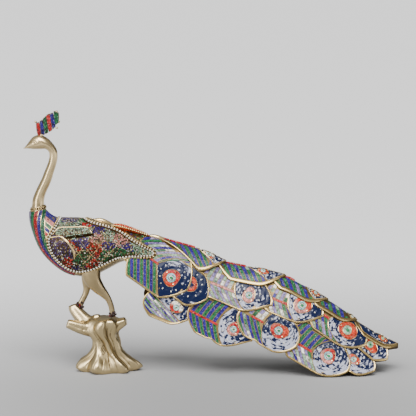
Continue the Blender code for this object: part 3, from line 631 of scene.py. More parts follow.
def hollows(mesh, passes, reach):
    """How deep each point lies in a hollow, from 0 to 1.

    It is the height of its neighbours' mean over the point along its normal, divided by the reach,
    and averaged over the neighbours again in each pass.
    """
    points, quads, triangles = mesh[:3]
    faces = np.concatenate([quads, np.column_stack([triangles, triangles[:, 0]])])
    ends = np.concatenate([faces[:, [0, 1]], faces[:, [1, 2]], faces[:, [2, 3]], faces[:, [3, 0]]])
    ends = ends[ends[:, 0] != ends[:, 1]]
    ends = np.concatenate([ends, ends[:, ::-1]])
    count = np.maximum(np.bincount(ends[:, 0], minlength=len(points)), 1)

    def mean(values):
        return np.bincount(ends[:, 0], values[ends[:, 1]], len(points)) / count

    middle = np.column_stack([mean(points[:, axis]) for axis in range(3)])
    depth = np.sum((middle - points) * point_normals(points, quads, triangles), axis=1)
    for _ in range(passes):
        depth = 0.5 * depth + 0.5 * mean(depth)
    return np.clip(depth / reach, 0.0, 1.0)


def roof_rows(x):
    """Ridge height, depth, half spread and roundness of the train's roof at x."""
    tables = []
    for table in (TRAIN_RIDGE, TRAIN_DEPTH, TRAIN_SPREAD, TRAIN_ROUNDNESS):
        fine = smooth_rows(table, 12 * len(table))
        tables.append(np.interp(x, fine[:, 0], fine[:, 1]))
    return tables


def roof_point(x, across):
    """Point of the train's roof: y = spread * across, z = ridge - depth * |across| ** roundness."""
    ridge, depth, spread, power = roof_rows(x)
    return np.stack([x, spread * across, ridge - depth * np.abs(across) ** power], axis=-1)


def train_point(x, across, lift):
    """Point over the roof by a lift, square to it, and never below the ground."""
    x, across, lift = np.broadcast_arrays(
        np.asarray(x, dtype=float), np.asarray(across, dtype=float), np.asarray(lift, dtype=float))
    ahead = roof_point(x + 0.5, across) - roof_point(x - 0.5, across)
    aside = roof_point(x, across + 0.01) - roof_point(x, across - 0.01)
    normal = unit_rows(np.cross(ahead, aside))
    point = roof_point(x, across) + normal * lift[..., None]
    point[..., 2] = np.maximum(point[..., 2], 0.0)
    return point


def across_at(x, z):
    """Share across the roof at the height z, eased so that it never crosses the ridge."""
    ridge, depth, _, power = roof_rows(x)
    drop = ridge - z
    share = np.sign(drop) * (np.abs(drop) / depth) ** (1.0 / power)
    return 0.5 * (share + np.sqrt(share**2 + RIDGE_EASE**2))


def height_at(x, across):
    """Height on the roof that across_at turned into this share."""
    ridge, depth, _, power = roof_rows(x)
    across = np.maximum(np.abs(across), 1e-4)
    share = across - RIDGE_EASE**2 / (4.0 * across)
    return ridge - np.sign(share) * depth * np.abs(share) ** power


def leaf_width(one, a, b_side):
    """Half width of a feather at a, above it where b_side is negative and below it elsewhere.

    It opens as (a / share) ** power from the root, and closes as (1 - reach ** bend) ** fullness
    from the tip's start. A notch where the eye begins lowers the lower side.
    """
    above = (b_side < 0.0) & (one["hang"] is None)
    share, root_power = one["open"]
    start, bend = one["close"]
    root = np.minimum(1.0, np.maximum(a, 0.0) / share) ** root_power
    reach = np.clip((a - start) / (1.0 - start), 0.0, 1.0)
    power = np.where(above, *one["full"])
    notch = one["notch"] * np.exp(-(((a - one["split"]) / 0.05) ** 2)) * ~above
    return np.where(above, *one["wide"]) * root * (1.0 - reach**bend) ** power * (1.0 - notch)


def leaf_lift(one, a, b):
    """Height of a feather's rim over the roof."""
    a = np.clip(a, 0.0, 1.0)
    if one["hang"] is None:
        return one["base"] + one["rise"] * a + EDGE_LIFT * np.clip(b, -1.0, 1.0)
    return one["base"] + one["rise"] * a + EDGE_LIFT * (RIDGE_EDGE_SHARE + np.minimum(np.abs(b), 1.0))


def leaf_spot(one, a, b, side):
    """Place of a feather's (a, b) on the roof, as x and share across."""
    if one["hang"] is None:
        along = a * one["length"]
        aside = b * one["half"]
        x = one["root"][0] + one["heading"][0] * along + one["heading"][1] * aside
        z = one["root"][1] + one["heading"][1] * along - one["heading"][0] * aside
        return x, side * across_at(x, z)
    x = one["root"][0] + one["length"] * a
    return x, side * b * across_at(x, roof_rows(x)[0] - one["hang"])


def spot_on_leaf(one, x, across, side):
    """The feather's (a, b) at a place on the roof, which undoes leaf_spot."""
    if one["hang"] is None:
        dx = x - one["root"][0]
        dz = height_at(x, across) - one["root"][1]
        a = (one["heading"][0] * dx + one["heading"][1] * dz) / one["length"]
        b = (one["heading"][1] * dx - one["heading"][0] * dz) / one["half"]
        return a, np.where(across * side >= 0.0, b, 9.0)
    a = (x - one["root"][0]) / one["length"]
    return a, np.abs(across) / across_at(x, roof_rows(x)[0] - one["hang"])


def covering(one, x, across, side):
    """Lowest lift of the later feathers that cover a place on the roof, and 99 where none does."""
    lowest = np.full(np.shape(x), 99.0)
    for other in FEATHERS[SPREAD_FROM[one["name"]] + 1:]:
        a, b = spot_on_leaf(other, x, across, side)
        inside = (a > 0.0) & (a < 1.0) & (np.abs(b) < leaf_width(other, a, b))
        lowest = np.where(inside, np.minimum(lowest, leaf_lift(other, a, b)), lowest)
    return lowest


def on_leaf(one, a, b, side, rise):
    """Point of a feather, raised over its rim by a rise, or tucked under a feather that covers it."""
    x, across = leaf_spot(one, a, b, side)
    lift = leaf_lift(one, a, b) + rise
    cover = covering(one, x, across, side if one["hang"] is None else np.sign(across))
    return train_point(x, across, np.minimum(lift, cover - TUCK_DEPTH))


def shows(one, a, b, side):
    """Whether no later feather covers a place of this one."""
    x, across = leaf_spot(one, a, b, side)
    return covering(one, x, across, side if one["hang"] is None else np.sign(across)) > 90.0


def eye_start(one, b):
    """Where a feather's eye begins: split + tilt * b + bend * b ** 2, with a kink at the spine."""
    kink = one["split_kink"] * np.maximum(0.0, one["spine"] - b)
    return one["split"] + one["split_tilt"] * b + one["split_bend"] * b * b + kink


def plate_shape(one, side, rim):
    """Brass plate of a feather: a leaf with a rounded rim, a sunk field and a flat underside.

    Rings follow the outline a = 0.5 - 0.5 cos t, b = width(a), each drawn in by its distance over
    the half width, and drop from the rim to the field.
    """
    spokes = 112
    turn = full_turn(spokes)
    edge_a = 0.5 - 0.5 * np.cos(turn)
    edge_b = np.sign(np.sin(turn)) * leaf_width(one, edge_a, np.sin(turn))
    if one["hang"] is None:
        rim = rim * (0.8 + 0.45 * np.clip(np.sin(turn) + 0.3, 0.0, 1.0))
    else:
        rim = rim * (0.9 + 0.9 * np.abs(np.sin(turn)) * min(1.0, one["hang"] / 24.0) ** 2)
    steps = ((0.0, -FIELD_DEPTH), (0.04, -0.35), (0.28, 0.0), (0.62, 0.05), (0.88, -0.25),
             (1.0, -FIELD_DEPTH))
    rings = []
    for share, rise in steps:
        rings.append((1.0 - share * rim / one["half"], rise))
    inner = 1.0 - rim / one["half"]
    for share in (0.82, 0.62, 0.42, 0.22, 0.08):
        rings.append((inner * share, -FIELD_DEPTH))
    rows = []
    for scale, rise in rings:
        a = 0.52 + (edge_a - 0.52) * scale
        rows.append(on_leaf(one, a, edge_b * scale, side, rise))
    under = []
    for scale in (0.08, 0.5, 1.0):
        x, across = leaf_spot(one, 0.52 + (edge_a - 0.52) * scale, edge_b * scale, side)
        under.append(train_point(x, across, -PLATE_DEPTH))
    grid = np.array(under + rows)
    # The underside and the foot of the wall are painted darkest, a painted shade for the shadow line under
    # each plate's edge; the rim's crest stays bright.
    wear = np.array([1.0, 1.0, 1.0] + [0.6, 0.2, 0.0, 0.0, 0.2, 0.6] + [0.62] * 5)
    return tube_shape(grid, wear=np.repeat(wear, spokes))


def cell_corners(sides, near, far):
    """Corners (q, p), in order round each cell, of cells with two sides and a near and a far end."""
    around = ((sides[0], near[0]), (sides[0], far[0]), (sides[1], far[1]), (sides[1], near[1]))
    return np.stack([np.stack(corner, axis=-1) for corner in around], axis=1)


def strip_cells(inside, edges, reach, tile, gap, joint):
    """Tiles that fill a region with strips: their corners (q, p), and the strip of each.

    A strip lies between two edges of q. On both of its sides, drawn in by half the gap, the first and
    the last p inside the region are found on a fine row of samples, and equal tiles share the way,
    each drawn in by the joint.
    """
    out = np.linspace(0.0, reach, SAMPLES)
    sides = np.stack([edges[:-1] + gap / 2.0, edges[1:] - gap / 2.0])
    allowed = inside(sides[..., None], out)
    first = out[allowed.argmax(axis=-1)]
    last = out[SAMPLES - 1 - allowed[..., ::-1].argmax(axis=-1)]
    run = last - first - gap
    useful = allowed.any(axis=-1).all(axis=0) & (run.min(axis=0) > -gap) & (run.max(axis=0) > 1.0)
    count = np.maximum(1, np.round(run.mean(axis=0) / tile)).astype(int)
    number = np.arange(max(int(count.max()), 1))
    strip, place = np.meshgrid(np.arange(len(count)), number, indexing="ij")
    used = useful[strip] & (place < count[strip])
    strip = strip[used]
    place = place[used]
    share = place / count[strip]
    after = (place + 1) / count[strip]
    length = last[:, strip] - first[:, strip]
    near = first[:, strip] + length * share + joint
    far = first[:, strip] + length * after - joint
    far = np.maximum(far, near + 0.1)
    return cell_corners(sides[:, strip], near, far), strip


def tile_shape(place, corners, tints, foot, top):
    """Bevelled slabs with four corners each: place(q, p, rise) sets them on their surface."""
    middle = corners.mean(axis=1, keepdims=True)
    size = np.linalg.norm(corners - middle, axis=-1, keepdims=True)
    inner = middle + (corners - middle) * np.maximum(1.0 - 0.45 / np.maximum(size, 0.6), 0.2)
    layers = [place(corners[..., 0], corners[..., 1], foot),
              place(corners[..., 0], corners[..., 1], top - 0.28),
              place(inner[..., 0], inner[..., 1], top)]
    points = np.stack(layers, axis=1).reshape(-1, 3)
    base = np.concatenate([grid_quads(3, 4, close_columns=True), [(3, 2, 1, 0), (8, 9, 10, 11)]])
    quads = base[None] + (np.arange(len(corners)) * 12)[:, None, None]
    return shape(points, quads, None, np.repeat(tints, 12, axis=0))


def varied(tints, dice, count, low, high):
    """Each tile's tint, darker or lighter by a random factor from low to high."""
    return np.clip(tints * dice.uniform(low, high, (count, 1)), 0.0, 1.0)


def barb_tints(colours, strip, pale, dice, start):
    """Lapis and malachite by turns, or lilac and mint, some cream, where a tile is pale: painted
    reflection, the sheen of light on glossy stone. Each is a little its own.
    """
    blue = ((strip + start) % 2 == 0)[:, None]
    deep = np.where(blue, colours.lapis, colours.malachite)
    light = np.where(blue, colours.painted_sheen_lilac, colours.mint)
    by_tile = dice.random(len(strip))
    by_strip = dice.random(int(strip.max()) + 1)[strip]
    roll = by_tile if pale > 0.3 else 0.75 * by_strip + 0.25 * by_tile
    chosen = np.where(roll[:, None] < pale, light, deep)
    chosen = np.where(roll[:, None] < 0.22 * pale, colours.cream, chosen)
    spread = 0.25 if pale > 0.3 else 0.10
    return varied(chosen, dice, len(strip), 1.0 - spread, 1.0 + spread)


def barb_shapes(one, side, sizes, colours, dice):
    """Barb tiles on both sides of a feather's spine, and the spine's own red tiles.

    Away from the spine by p, a barb runs forward by lean * p + bend * p * p.
    """
    gap = sizes.tile_gap / UNIT
    rim = sizes.rim_width / UNIT
    tile = sizes.tile_length / UNIT
    half = one["half"]
    made = []
    rows = ((0, -1.0), (1, 1.0)) if one["hang"] is None else ((1, 1.0),)
    spine_half = 2.0 if one["hang"] is None else 3.0
    for index, way in rows:
        # The pale share paints barb tiles pale: painted reflection, the sheen of light on glossy stone.
        pale = one["pale"][index]
        lean = one["lean"][index]
        bend = one["bend"][index]

        def spot(q, p):
            along = (q + lean * p + bend * p * p) / one["length"]
            return along, one["spine"] + way * p / half

        def inside(q, p):
            a, b = spot(q, p)
            field = leaf_width(one, a, b) - (1.25 if one["hang"] is None else 1.9) * rim / half
            starts = np.maximum(eye_start(one, b), 0.0) - 1.0 / one["length"]
            before = (a < starts) | (b < -one["eye_top"] - 0.02)
            return (np.abs(b) < field) & (a > 0.02) & before & (p > spine_half) & (way * b > -1.2)

        reach = half * 2.0
        back = reach * max(lean, 0.0) + bend * reach * reach
        edges = np.arange(-back, one["length"], one["pitch"])
        corners, strip = strip_cells(inside, edges, reach, tile, gap, 0.25 * gap if pale > 0.3 else 0.0)
        a, b = spot(corners[..., 0].mean(axis=1), corners[..., 1].mean(axis=1))
        seen = shows(one, a, b, side)
        corners = corners[seen]
        strip = strip[seen]
        if len(corners):
            tints = barb_tints(colours, strip, pale, dice, index)
            made.append(tile_shape(lambda q, p, rise: on_leaf(one, *spot(q, p), side, rise),
                                   corners, tints, TILE_FOOT, BARB_TOP))
    start, end = one["spine_span"]
    if end > start:
        count = max(2, int(round((end - start) * one["length"] / 11.0)))
        steps = np.linspace(start, end, count + 1)
        width = spine_half - 0.3
        if one["hang"] is None or side < 0:
            ends = np.stack([steps[:-1] + 0.25 / one["length"], steps[1:] - 0.25 / one["length"]])
            corners = cell_corners(ends, np.full((2, count), -width), np.full((2, count), width))
            corners[..., 0] *= one["length"]
            middle = corners.mean(axis=1)
            seen = shows(one, middle[:, 0] / one["length"], one["spine"] + middle[:, 1] / half, side)
            corners = corners[seen]
            tint = np.array(getattr(colours, one["spine_tint"]))
            tints = varied(tint, dice, len(corners), 0.85, 1.15)
            proud = 0.5 if one["hang"] is None else 2.2
            made.append(tile_shape(
                lambda q, p, rise: on_leaf(one, q / one["length"], one["spine"] + p / half, side, rise),
                corners, tints, TILE_FOOT, proud))
    return made


def eye_reach(one, centre, turn, rim):
    """How far a feather's eye goes from its ring's centre in each direction, in units."""
    out = np.linspace(0.0, one["length"], 2 * SAMPLES)
    along = centre[0] * one["length"] + np.cos(turn)[:, None] * out
    aside = centre[1] * one["half"] + np.sin(turn)[:, None] * out
    a = along / one["length"]
    b = aside / one["half"]
    rim_share = (1.1 if one["hang"] is None else 1.8) * rim / one["half"]
    inside = (np.abs(b) < leaf_width(one, a, b) - rim_share) & (a > eye_start(one, b))
    inside = inside & (a < 0.985) & (a > 0.0) & (b > -one["eye_top"])
    if one["hang"] is not None:
        inside = inside & (b > 0.0)
    return out[np.maximum((~inside).argmax(axis=1) - 1, 1)]


def round_cap(place, reach, rings, heights, foot, tints, wear=0.0):
    """Closed cap over a star-shaped area: rings drawn in from its reach, each at its own height.

    place(distance, turn, rise) sets a point. The foot ring and a centre under it close the cap.
    """
    spokes = len(reach)
    turn = full_turn(spokes)
    rows = [place(np.zeros(spokes) + 0.02, turn, foot), place(reach, turn, foot)]
    for scale, height in zip(rings, heights):
        rows.append(place(reach * scale, turn, height))
    return tube_shape(np.array(rows), tint=tints, wear=wear)


def eye_shapes(one, side, sizes, colours, dice):
    """A feather's eye: lumpy navy glass, an orange ring, turquoise grains, a green heart and pins.

    The glass's pale flecks are painted reflection, the glints of light on its lumps: they grow towards one
    side and run in streaks round the ring.
    """
    if one["split"] > 1.0:
        return [], [], []
    rim = sizes.rim_width / UNIT
    ring_a, ring_b, ring_long, ring_wide = one["ring"]
    turn = full_turn(72)
    reach = eye_reach(one, (ring_a, ring_b), turn, rim)

    def place(distance, angle, rise):
        a = ring_a + np.cos(angle) * distance / one["length"]
        b = ring_b + np.sin(angle) * distance / one["half"]
        return on_leaf(one, a, b, side, rise)

    rings = np.concatenate([(1.0, 0.985, 0.95), np.linspace(0.91, 0.02, 20)])
    heights = []
    frost = [np.zeros(len(turn)), np.zeros(len(turn))]
    own = 10.0 * SPREAD_FROM[one["name"]]
    for scale in rings:
        dome = 0.9 * (1.0 - scale**3)
        spot = np.stack([np.cos(turn) * 6.0, np.sin(turn) * 6.0, reach * scale + own], axis=-1)
        lumps = ripple(spot, 5.0, 3) + 0.4 * ripple(spot, 2.5, 4)
        heights.append(-0.5 + dome + 0.45 * lumps * min(1.0, 6.0 * (1.0 - scale)))
        # Painted reflection: the glass is painted pale towards one side and in streaks, for glints of
        # light.
        toward = np.cos(turn - math.radians(one["frost_turn"])) * scale
        frost.append(one["frost"] + 0.26 * toward * (one["frost"] > 0.12) + 0.46 * ripple(spot, 3.0, 5))
    frost = np.concatenate(frost + [[one["frost"], one["frost"]]])
    glass = round_cap(place, reach - 0.35, rings, heights, -1.4, colours.navy, wear=frost[:-2])
    lips = [rope(place(reach - 0.1, turn, -0.05), 0.75, wear=0.1)]

    strength, heading = one["ring_point"]
    ring_long = min(ring_long, 0.75 * float(np.median(reach)))
    bulge = 1.0 + 0.05 * np.cos(3.0 * turn + own) + 0.03 * np.cos(2.0 * turn)
    bulge = bulge + strength * np.maximum(0.0, np.cos(turn - math.radians(heading))) ** 4
    outline = bulge / np.sqrt((np.cos(turn) / ring_long) ** 2 + (np.sin(turn) / ring_wide) ** 2)
    outline = np.minimum(outline, np.maximum(reach - 1.2, 0.5))
    centre_seen = bool(shows(one, np.array([ring_a]), np.array([ring_b]), side)[0])
    first, second = (np.array(getattr(colours, name)) for name in one["ring_tints"])
    blend = smooth_step(-0.3, 0.3, np.cos(turn + 1.2))[:, None]
    band = first * (1.0 - blend) + second * blend
    tint_rows = np.concatenate([np.tile(band, (7, 1)), np.tile(band.mean(axis=0), (2, 1))])
    ring = round_cap(place, outline, (1.0, 0.94, 0.8, 0.6, 0.02), (0.3, 0.9, 1.1, 1.0, 1.0), -0.9,
                     tint_rows)
    lips.append(rope(place(outline + 0.15, turn, 0.75), 0.45))

    inner = min(ring_long, ring_wide) * 0.58
    disc = np.minimum(inner * (1.0 + 0.06 * np.cos(2.0 * turn)), outline * 0.8)
    stones = [ring]
    disc_tint = np.array(colours.mint) * 1.3 if one["shell"] else np.array(colours.turquoise) * 0.2
    stones.append(round_cap(place, disc, (1.0, 0.9, 0.02), (1.1, 1.4, 1.45), -0.5, disc_tint))
    lips.append(rope(place(disc + 0.1, turn, 1.2), 0.4, wear=0.3))
    grain_turn = full_turn(16)
    grain_reach = np.full(16, inner * 0.80)
    grain_tints = varied(np.array(colours.turquoise), dice, 16, 1.0, 1.8)
    heart = inner * (0.42 + 0.08 * np.cos(turn) + 0.07 * np.cos(2.0 * turn))
    if not one["shell"]:
        stones.append(small_cushions(place, grain_reach, grain_turn, 1.55, grain_tints, inner * 0.17,
                                     inner * 0.12, 0.5))
        stones.append(round_cap(place, heart + 0.9, (1.0, 0.9, 0.02), (1.6, 1.85, 1.85), 0.2,
                                colours.cream))
    stones.append(round_cap(place, heart * 0.9, (1.0, 0.85, 0.5, 0.02), (1.8, 2.1, 2.2, 2.2), 0.6,
                            np.array(colours.malachite) * 1.6))

    dots = np.array([0.5, 1.9, 3.3, 4.6, 5.5]) + dice.uniform(-0.2, 0.2)
    dot_reach = np.interp(dots, turn, outline * 0.80, period=2.0 * math.pi)
    metal = small_cushions(place, dot_reach, dots, 1.25, (1.0, 1.0, 1.0), 1.0, 1.0, 0.5)

    pin_turn = full_turn(12) + dice.uniform(-0.12, 0.12, 12)
    far = np.interp(pin_turn, turn, reach, period=2.0 * math.pi)
    near = np.interp(pin_turn, turn, outline, period=2.0 * math.pi)
    room = far - near
    enough = room > 5.5
    pin_reach = (near + np.clip(room * 0.52, 0.0, 9.0))[enough]
    pins = small_cushions(place, pin_reach, pin_turn[enough], 0.9, colours.cream, 1.4, 0.85, 0.6)
    if not centre_seen:
        stones = [stones[0]]
        metal = shape(np.zeros((0, 3)))
    return [glass], stones + [pins], lips + [metal]


def small_cushions(place, distance, turn, rise, tints, long, wide, high):
    """Small bevelled blocks round a centre, each pointing away from it."""
    if not len(turn):
        return shape(np.zeros((0, 3)))
    centre = place(distance, turn, rise)
    outward = unit_rows(place(distance + 0.5, turn, rise) - centre)
    normal = unit_rows(place(distance, turn, rise + 0.5) - centre)
    aside = np.cross(normal, outward)
    return scattered(cushion(), centre, outward * long, aside * wide, normal * high, tints)


def oval_axes(row):
    """Middle of each station's slanted line in the side view, and the way from it to the upper end."""
    return (row[..., :2] + row[..., 2:4]) / 2.0, (row[..., 2:4] - row[..., :2]) / 2.0


def mean_radius(row):
    """Root of the mean square of an oval's two half axes."""
    rise = oval_axes(row)[1]
    return np.sqrt((np.hypot(rise[:, 0], rise[:, 1]) ** 2 + row[:, 4] ** 2) / 2.0)


def flank_spot(x, z):
    """Share along the body's stations and turn from its top for places in its side view.

    Each station's oval lies in one slanted line of the side view, so the share is where the place
    meets that line, and the cosine of the turn is how far up the line it lies.
    """
    middle, rise = oval_axes(smooth_rows(BODY_STATIONS, FLANK_SAMPLES))
    dx = x[..., None] - middle[:, 0]
    dz = z[..., None] - middle[:, 1]
    off = dx * rise[:, 1] - dz * rise[:, 0]
    up = (dx * rise[:, 0] + dz * rise[:, 1]) / np.sum(rise**2, axis=1)
    crossing = (off[..., :-1] * off[..., 1:] <= 0.0) & (np.abs(up[..., :-1]) < 1.6)
    missed = ~crossing.any(axis=-1)
    nearest = np.argmin(dx**2 + dz**2, axis=-1)
    place = np.where(missed, np.minimum(nearest, FLANK_SAMPLES - 2), crossing.argmax(axis=-1))

    def at(values, step):
        return np.take_along_axis(values, place[..., None] + step, -1)[..., 0]

    here = at(off, 0)
    gap = here - at(off, 1)
    part = np.where(missed, 0.0, here / np.where(np.abs(gap) < 1e-9, 1.0, gap))
    low = at(up, 0)
    level = np.clip(low + (at(up, 1) - low) * part, -1.0, 1.0)
    return (place + part) / (FLANK_SAMPLES - 1.0), np.arccos(level)


def oval_point(stations, share, turn, side):
    """Point of a loft of ovals: middle + cos(turn) * half height line + sin(turn) * half width."""
    row = curve(stations, share)
    middle, rise = oval_axes(row)
    flat = middle + np.cos(turn)[..., None] * rise
    return np.stack([flat[..., 0], side * np.sin(turn) * row[..., 4], flat[..., 1]], axis=-1)


def loft_normal(stations, share, turn, side):
    """Unit normal of a loft of ovals, pointing out of it."""

    def at(ahead, onward):
        return oval_point(stations, share + ahead * 0.004, turn + onward * 0.004, side)

    normal = unit_rows(np.cross(at(1, 0) - at(-1, 0), at(0, 1) - at(0, -1)))
    flat = oval_axes(curve(stations, share))[0]
    middle = np.stack([flat[..., 0], np.zeros(np.shape(share)), flat[..., 1]], axis=-1)
    outward = np.sum(normal * (at(0, 0) - middle), axis=-1)
    return normal * np.where(outward < 0.0, -1.0, 1.0)[..., None]


def wing_relief(point):
    """Height of the cast wing over the body: a round lobe, a raised panel, and the crevice under it."""
    x = point[..., 0]
    z = point[..., 2]
    centre_x, centre_z, long, high = WING_LOBE
    lobe = np.maximum(0.0, 1.0 - ((x - centre_x) / long) ** 2 - ((z - centre_z) / high) ** 2)
    start, end = (np.array(corner) for corner in CREVICE_ENDS)
    line = end - start
    part = ((x - start[0]) * line[0] + (z - start[1]) * line[1]) / np.sum(line**2)
    off = ((z - start[1]) * line[0] - (x - start[0]) * line[1]) / np.linalg.norm(line)
    along = smooth_step(-0.15, 0.35, part) * (1.0 - smooth_step(0.97, 1.08, part))
    flank = smooth_step(4.0, 14.0, np.abs(point[..., 1]))
    crevice = -3.4 * np.exp(-((off + 0.4) / 1.5) ** 2)
    panel = 2.0 * smooth_step(-0.5, 1.8, off) * (1.0 - smooth_step(6.0, 15.0, off))
    return flank * (3.4 * lobe**0.8 + along * (crevice + panel))


def body_point(share, turn, side, lift):
    """Point over the cast body by a lift, square to it, with the wing's relief under it."""
    point = oval_point(BODY_STATIONS, share, turn, side)
    height = wing_relief(point) + lift
    point = point + loft_normal(BODY_STATIONS, share, turn, side) * height[..., None]
    tip = point[..., 0] > WING_TIP_START
    if np.any(tip):
        point[tip] = over_train(point[tip], np.broadcast_to(lift, tip.shape)[tip])
    return point


def over_train(point, lift):
    """Places of the wing's tip moved out sideways until they lie over the train's first feathers."""
    x, y, z = point.T
    near, inside = border_distance(x, z)
    wing = smooth_step(-6.0, -3.0, np.where(inside, near, -near))
    wing = wing * smooth_step(WING_TIP_START, WING_TIP_START + 16.0, x)
    feathers = roof_rows(x)[2] * across_at(x, z) + WING_TIP_COVER + lift
    out = np.maximum(feathers - np.abs(y), 0.0) * wing
    return np.column_stack([x, y + np.sign(y) * out, z])


def leaned(normal, x, side):
    """Normals that turn sideways towards the wing's tip, where the body under it closes."""
    share = smooth_step(-140.0, -115.0, x)[..., None]
    return unit_rows(normal * (1.0 - share) + share * np.array((0.1, side, 0.3)))


def flank_point(x, z, side, lift):
    """Point on a flank of the body, given by its place in the side view."""
    share, turn = flank_spot(x, z)
    return body_point(share, np.clip(turn, 0.06, math.pi - 0.06), side, lift)


def flank_normal(x, z, side):
    """Unit normal at such a place."""
    share, turn = flank_spot(x, z)
    return loft_normal(BODY_STATIONS, share, np.clip(turn, 0.06, math.pi - 0.06), side)


def path_run(path):
    """Way along a path from its start to each of its points."""
    return np.concatenate([[0.0], np.cumsum(np.linalg.norm(np.diff(path, axis=0), axis=1))])


def even_steps(path, pitch):
    """Places at equal steps of about the pitch along a path of points."""
    run = path_run(path)
    count = max(2, int(round(run[-1] / pitch)))
    wanted = (np.arange(count) + 0.5) * run[-1] / count
    return np.column_stack([np.interp(wanted, run, path[:, axis]) for axis in range(path.shape[1])])


def border_frames(side, pitch):
    """Centre, heading, sideways and normal of each step along a flank's beaded border."""
    line = smooth_rows(BORDER_LINE, 700)
    path = flank_point(line[:, 0], line[:, 1], side, 0.0)
    for _ in range(12):
        path[1:-1] = (path[:-2] + 2.0 * path[1:-1] + path[2:]) / 4.0
    steps = even_steps(path, pitch)
    heading = unit_rows(np.gradient(steps, axis=0))
    normal = leaned(flank_normal(steps[:, 0], steps[:, 2], side), steps[:, 0], side)
    sideways = unit_rows(np.cross(normal, heading))
    return steps, heading, sideways, unit_rows(np.cross(heading, sideways))


def border_distance(x, z):
    """Distance in the side view from each place to the border, and whether it lies within it."""
    line = smooth_rows(BORDER_LINE, 240)
    gap = np.hypot(x[..., None] - line[:, 0], z[..., None] - line[:, 1]).min(axis=-1)
    start = line
    end = np.roll(line, -1, axis=0)
    above = (start[:, 1] > z[..., None]) != (end[:, 1] > z[..., None])
    rise = np.where(np.abs(end[:, 1] - start[:, 1]) < 1e-9, 1e-9, end[:, 1] - start[:, 1])
    cut = start[:, 0] + (z[..., None] - start[:, 1]) * (end[:, 0] - start[:, 0]) / rise
    inside = (above & (x[..., None] < cut)).sum(axis=-1) % 2 == 1
    return gap, inside


def linked(name, data):
    """Object with this data, put into the scene."""
    item = bpy.data.objects.new(name, data)
    bpy.context.scene.collection.objects.link(item)
    return item


def mesh_piece(name, shapes, look, slot="inlaid_brass", angle=40.0, replaced=()):
    """Object of bare meshes in drawn units, with its look and what it replaces; its slot is not used."""
    points, quads, triangles, tint, wear = joined(shapes)
    mesh = bpy.data.meshes.new(name)
    mesh.vertices.add(len(points))
    mesh.vertices.foreach_set("co", (points * UNIT).astype(np.float32).ravel())
    mesh.loops.add(quads.size + triangles.size)
    mesh.loops.foreach_set("vertex_index", np.concatenate([quads.ravel(), triangles.ravel()]))
    mesh.polygons.add(len(quads) + len(triangles))
    starts = np.concatenate([np.arange(len(quads)) * 4, quads.size + np.arange(len(triangles)) * 3])
    mesh.polygons.foreach_set("loop_start", starts)
    mesh.update(calc_edges=True)
    mesh.validate()
    colour = mesh.attributes.new("tint", "FLOAT_COLOR", "POINT")
    rgba = np.column_stack([tint, np.ones(len(tint))])
    colour.data.foreach_set("color", rgba.astype(np.float32).ravel())
    # This per-point amount holds rubbing and patina on the metal, and also painted shade on the brass and
    # painted reflection on the eye glass.
    value = mesh.attributes.new("wear", "FLOAT", "POINT")
    value.data.foreach_set("value", wear.astype(np.float32))
    work = bmesh.new()
    work.from_mesh(mesh)
    bmesh.ops.recalc_face_normals(work, faces=work.faces)
    work.to_mesh(mesh)
    work.free()
    mesh.shade_smooth()
    mesh.set_sharp_from_angle(angle=math.radians(angle))
    mesh.materials.append(kept_look(look))
    item = linked(name, mesh)
    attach(item, "root")
    if replaced:
        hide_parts(*replaced)
    return item


def melted(shapes, grain, smoothing):
    """Overlapping closed meshes run into one skin by a voxel remesh, then smoothed, as a bare mesh."""
    points, quads, triangles, _, _ = joined(shapes)
    mesh = bpy.data.meshes.new("melt")
    faces = [tuple(face) for face in quads.tolist()] + [tuple(face) for face in triangles.tolist()]
    mesh.from_pydata((points * UNIT).tolist(), [], faces)
    item = linked("melt", mesh)
    skin = item.modifiers.new("skin", "REMESH")
    skin.mode = "VOXEL"
    skin.voxel_size = grain
    soft = item.modifiers.new("soft", "SMOOTH")
    soft.factor = 0.5
    soft.iterations = smoothing
    graph = bpy.context.evaluated_depsgraph_get()
    made = item.evaluated_get(graph).to_mesh()
    place = np.zeros(len(made.vertices) * 3)
    made.vertices.foreach_get("co", place)
    corners = np.zeros(len(made.loops), dtype=int)
    made.loops.foreach_get("vertex_index", corners)
    result = shape(place.reshape(-1, 3) / UNIT, corners.reshape(-1, 4))
    bpy.data.objects.remove(item, do_unlink=True)
    return result


def new_group(name, inputs, outputs):
    """Empty shader node group: its inputs by name with their defaults, and its outputs by name.

    An input without a default is a vector, one with three numbers a colour, and the rest are values.
    """
    tree = bpy.data.node_groups.new(name, "ShaderNodeTree")
    for label, default in inputs.items():
        kind = "Vector" if default is None else "Color" if np.ndim(default) else "Float"
        socket = tree.interface.new_socket(label, in_out="INPUT", socket_type="NodeSocket" + kind)
        if default is not None:
            socket.default_value = (*default, 1.0) if np.ndim(default) else default
    for label in outputs:
        kind = "Color" if label == "Colour" else "Float"
        tree.interface.new_socket(label, in_out="OUTPUT", socket_type="NodeSocket" + kind)
    return tree, tree.nodes.new("NodeGroupInput").outputs, tree.nodes.new("NodeGroupOutput").inputs


def feed(tree, socket, value):
    """Links a value into a socket, or sets it: a number, or a colour of three numbers."""
    if isinstance(value, bpy.types.NodeSocket):
        tree.links.new(value, socket)
    else:
        socket.default_value = (*value, 1.0) if np.ndim(value) else value


def math_node(tree, operation, *values):
    """Math node fed by sockets or numbers; returns its output."""
    node = tree.nodes.new("ShaderNodeMath")
    node.operation = operation
    for place, value in enumerate(values):
        feed(tree, node.inputs[place], value)
    return node.outputs[0]


def noise_node(tree, place, scale, detail=3.0, roughness=0.5):
    """Noise over a place, about scale lumps to the metre; returns its value."""
    node = tree.nodes.new("ShaderNodeTexNoise")
    for name, value in (("Vector", place), ("Scale", scale), ("Detail", detail), ("Roughness", roughness)):
        feed(tree, node.inputs[name], value)
    return node.outputs["Fac"]


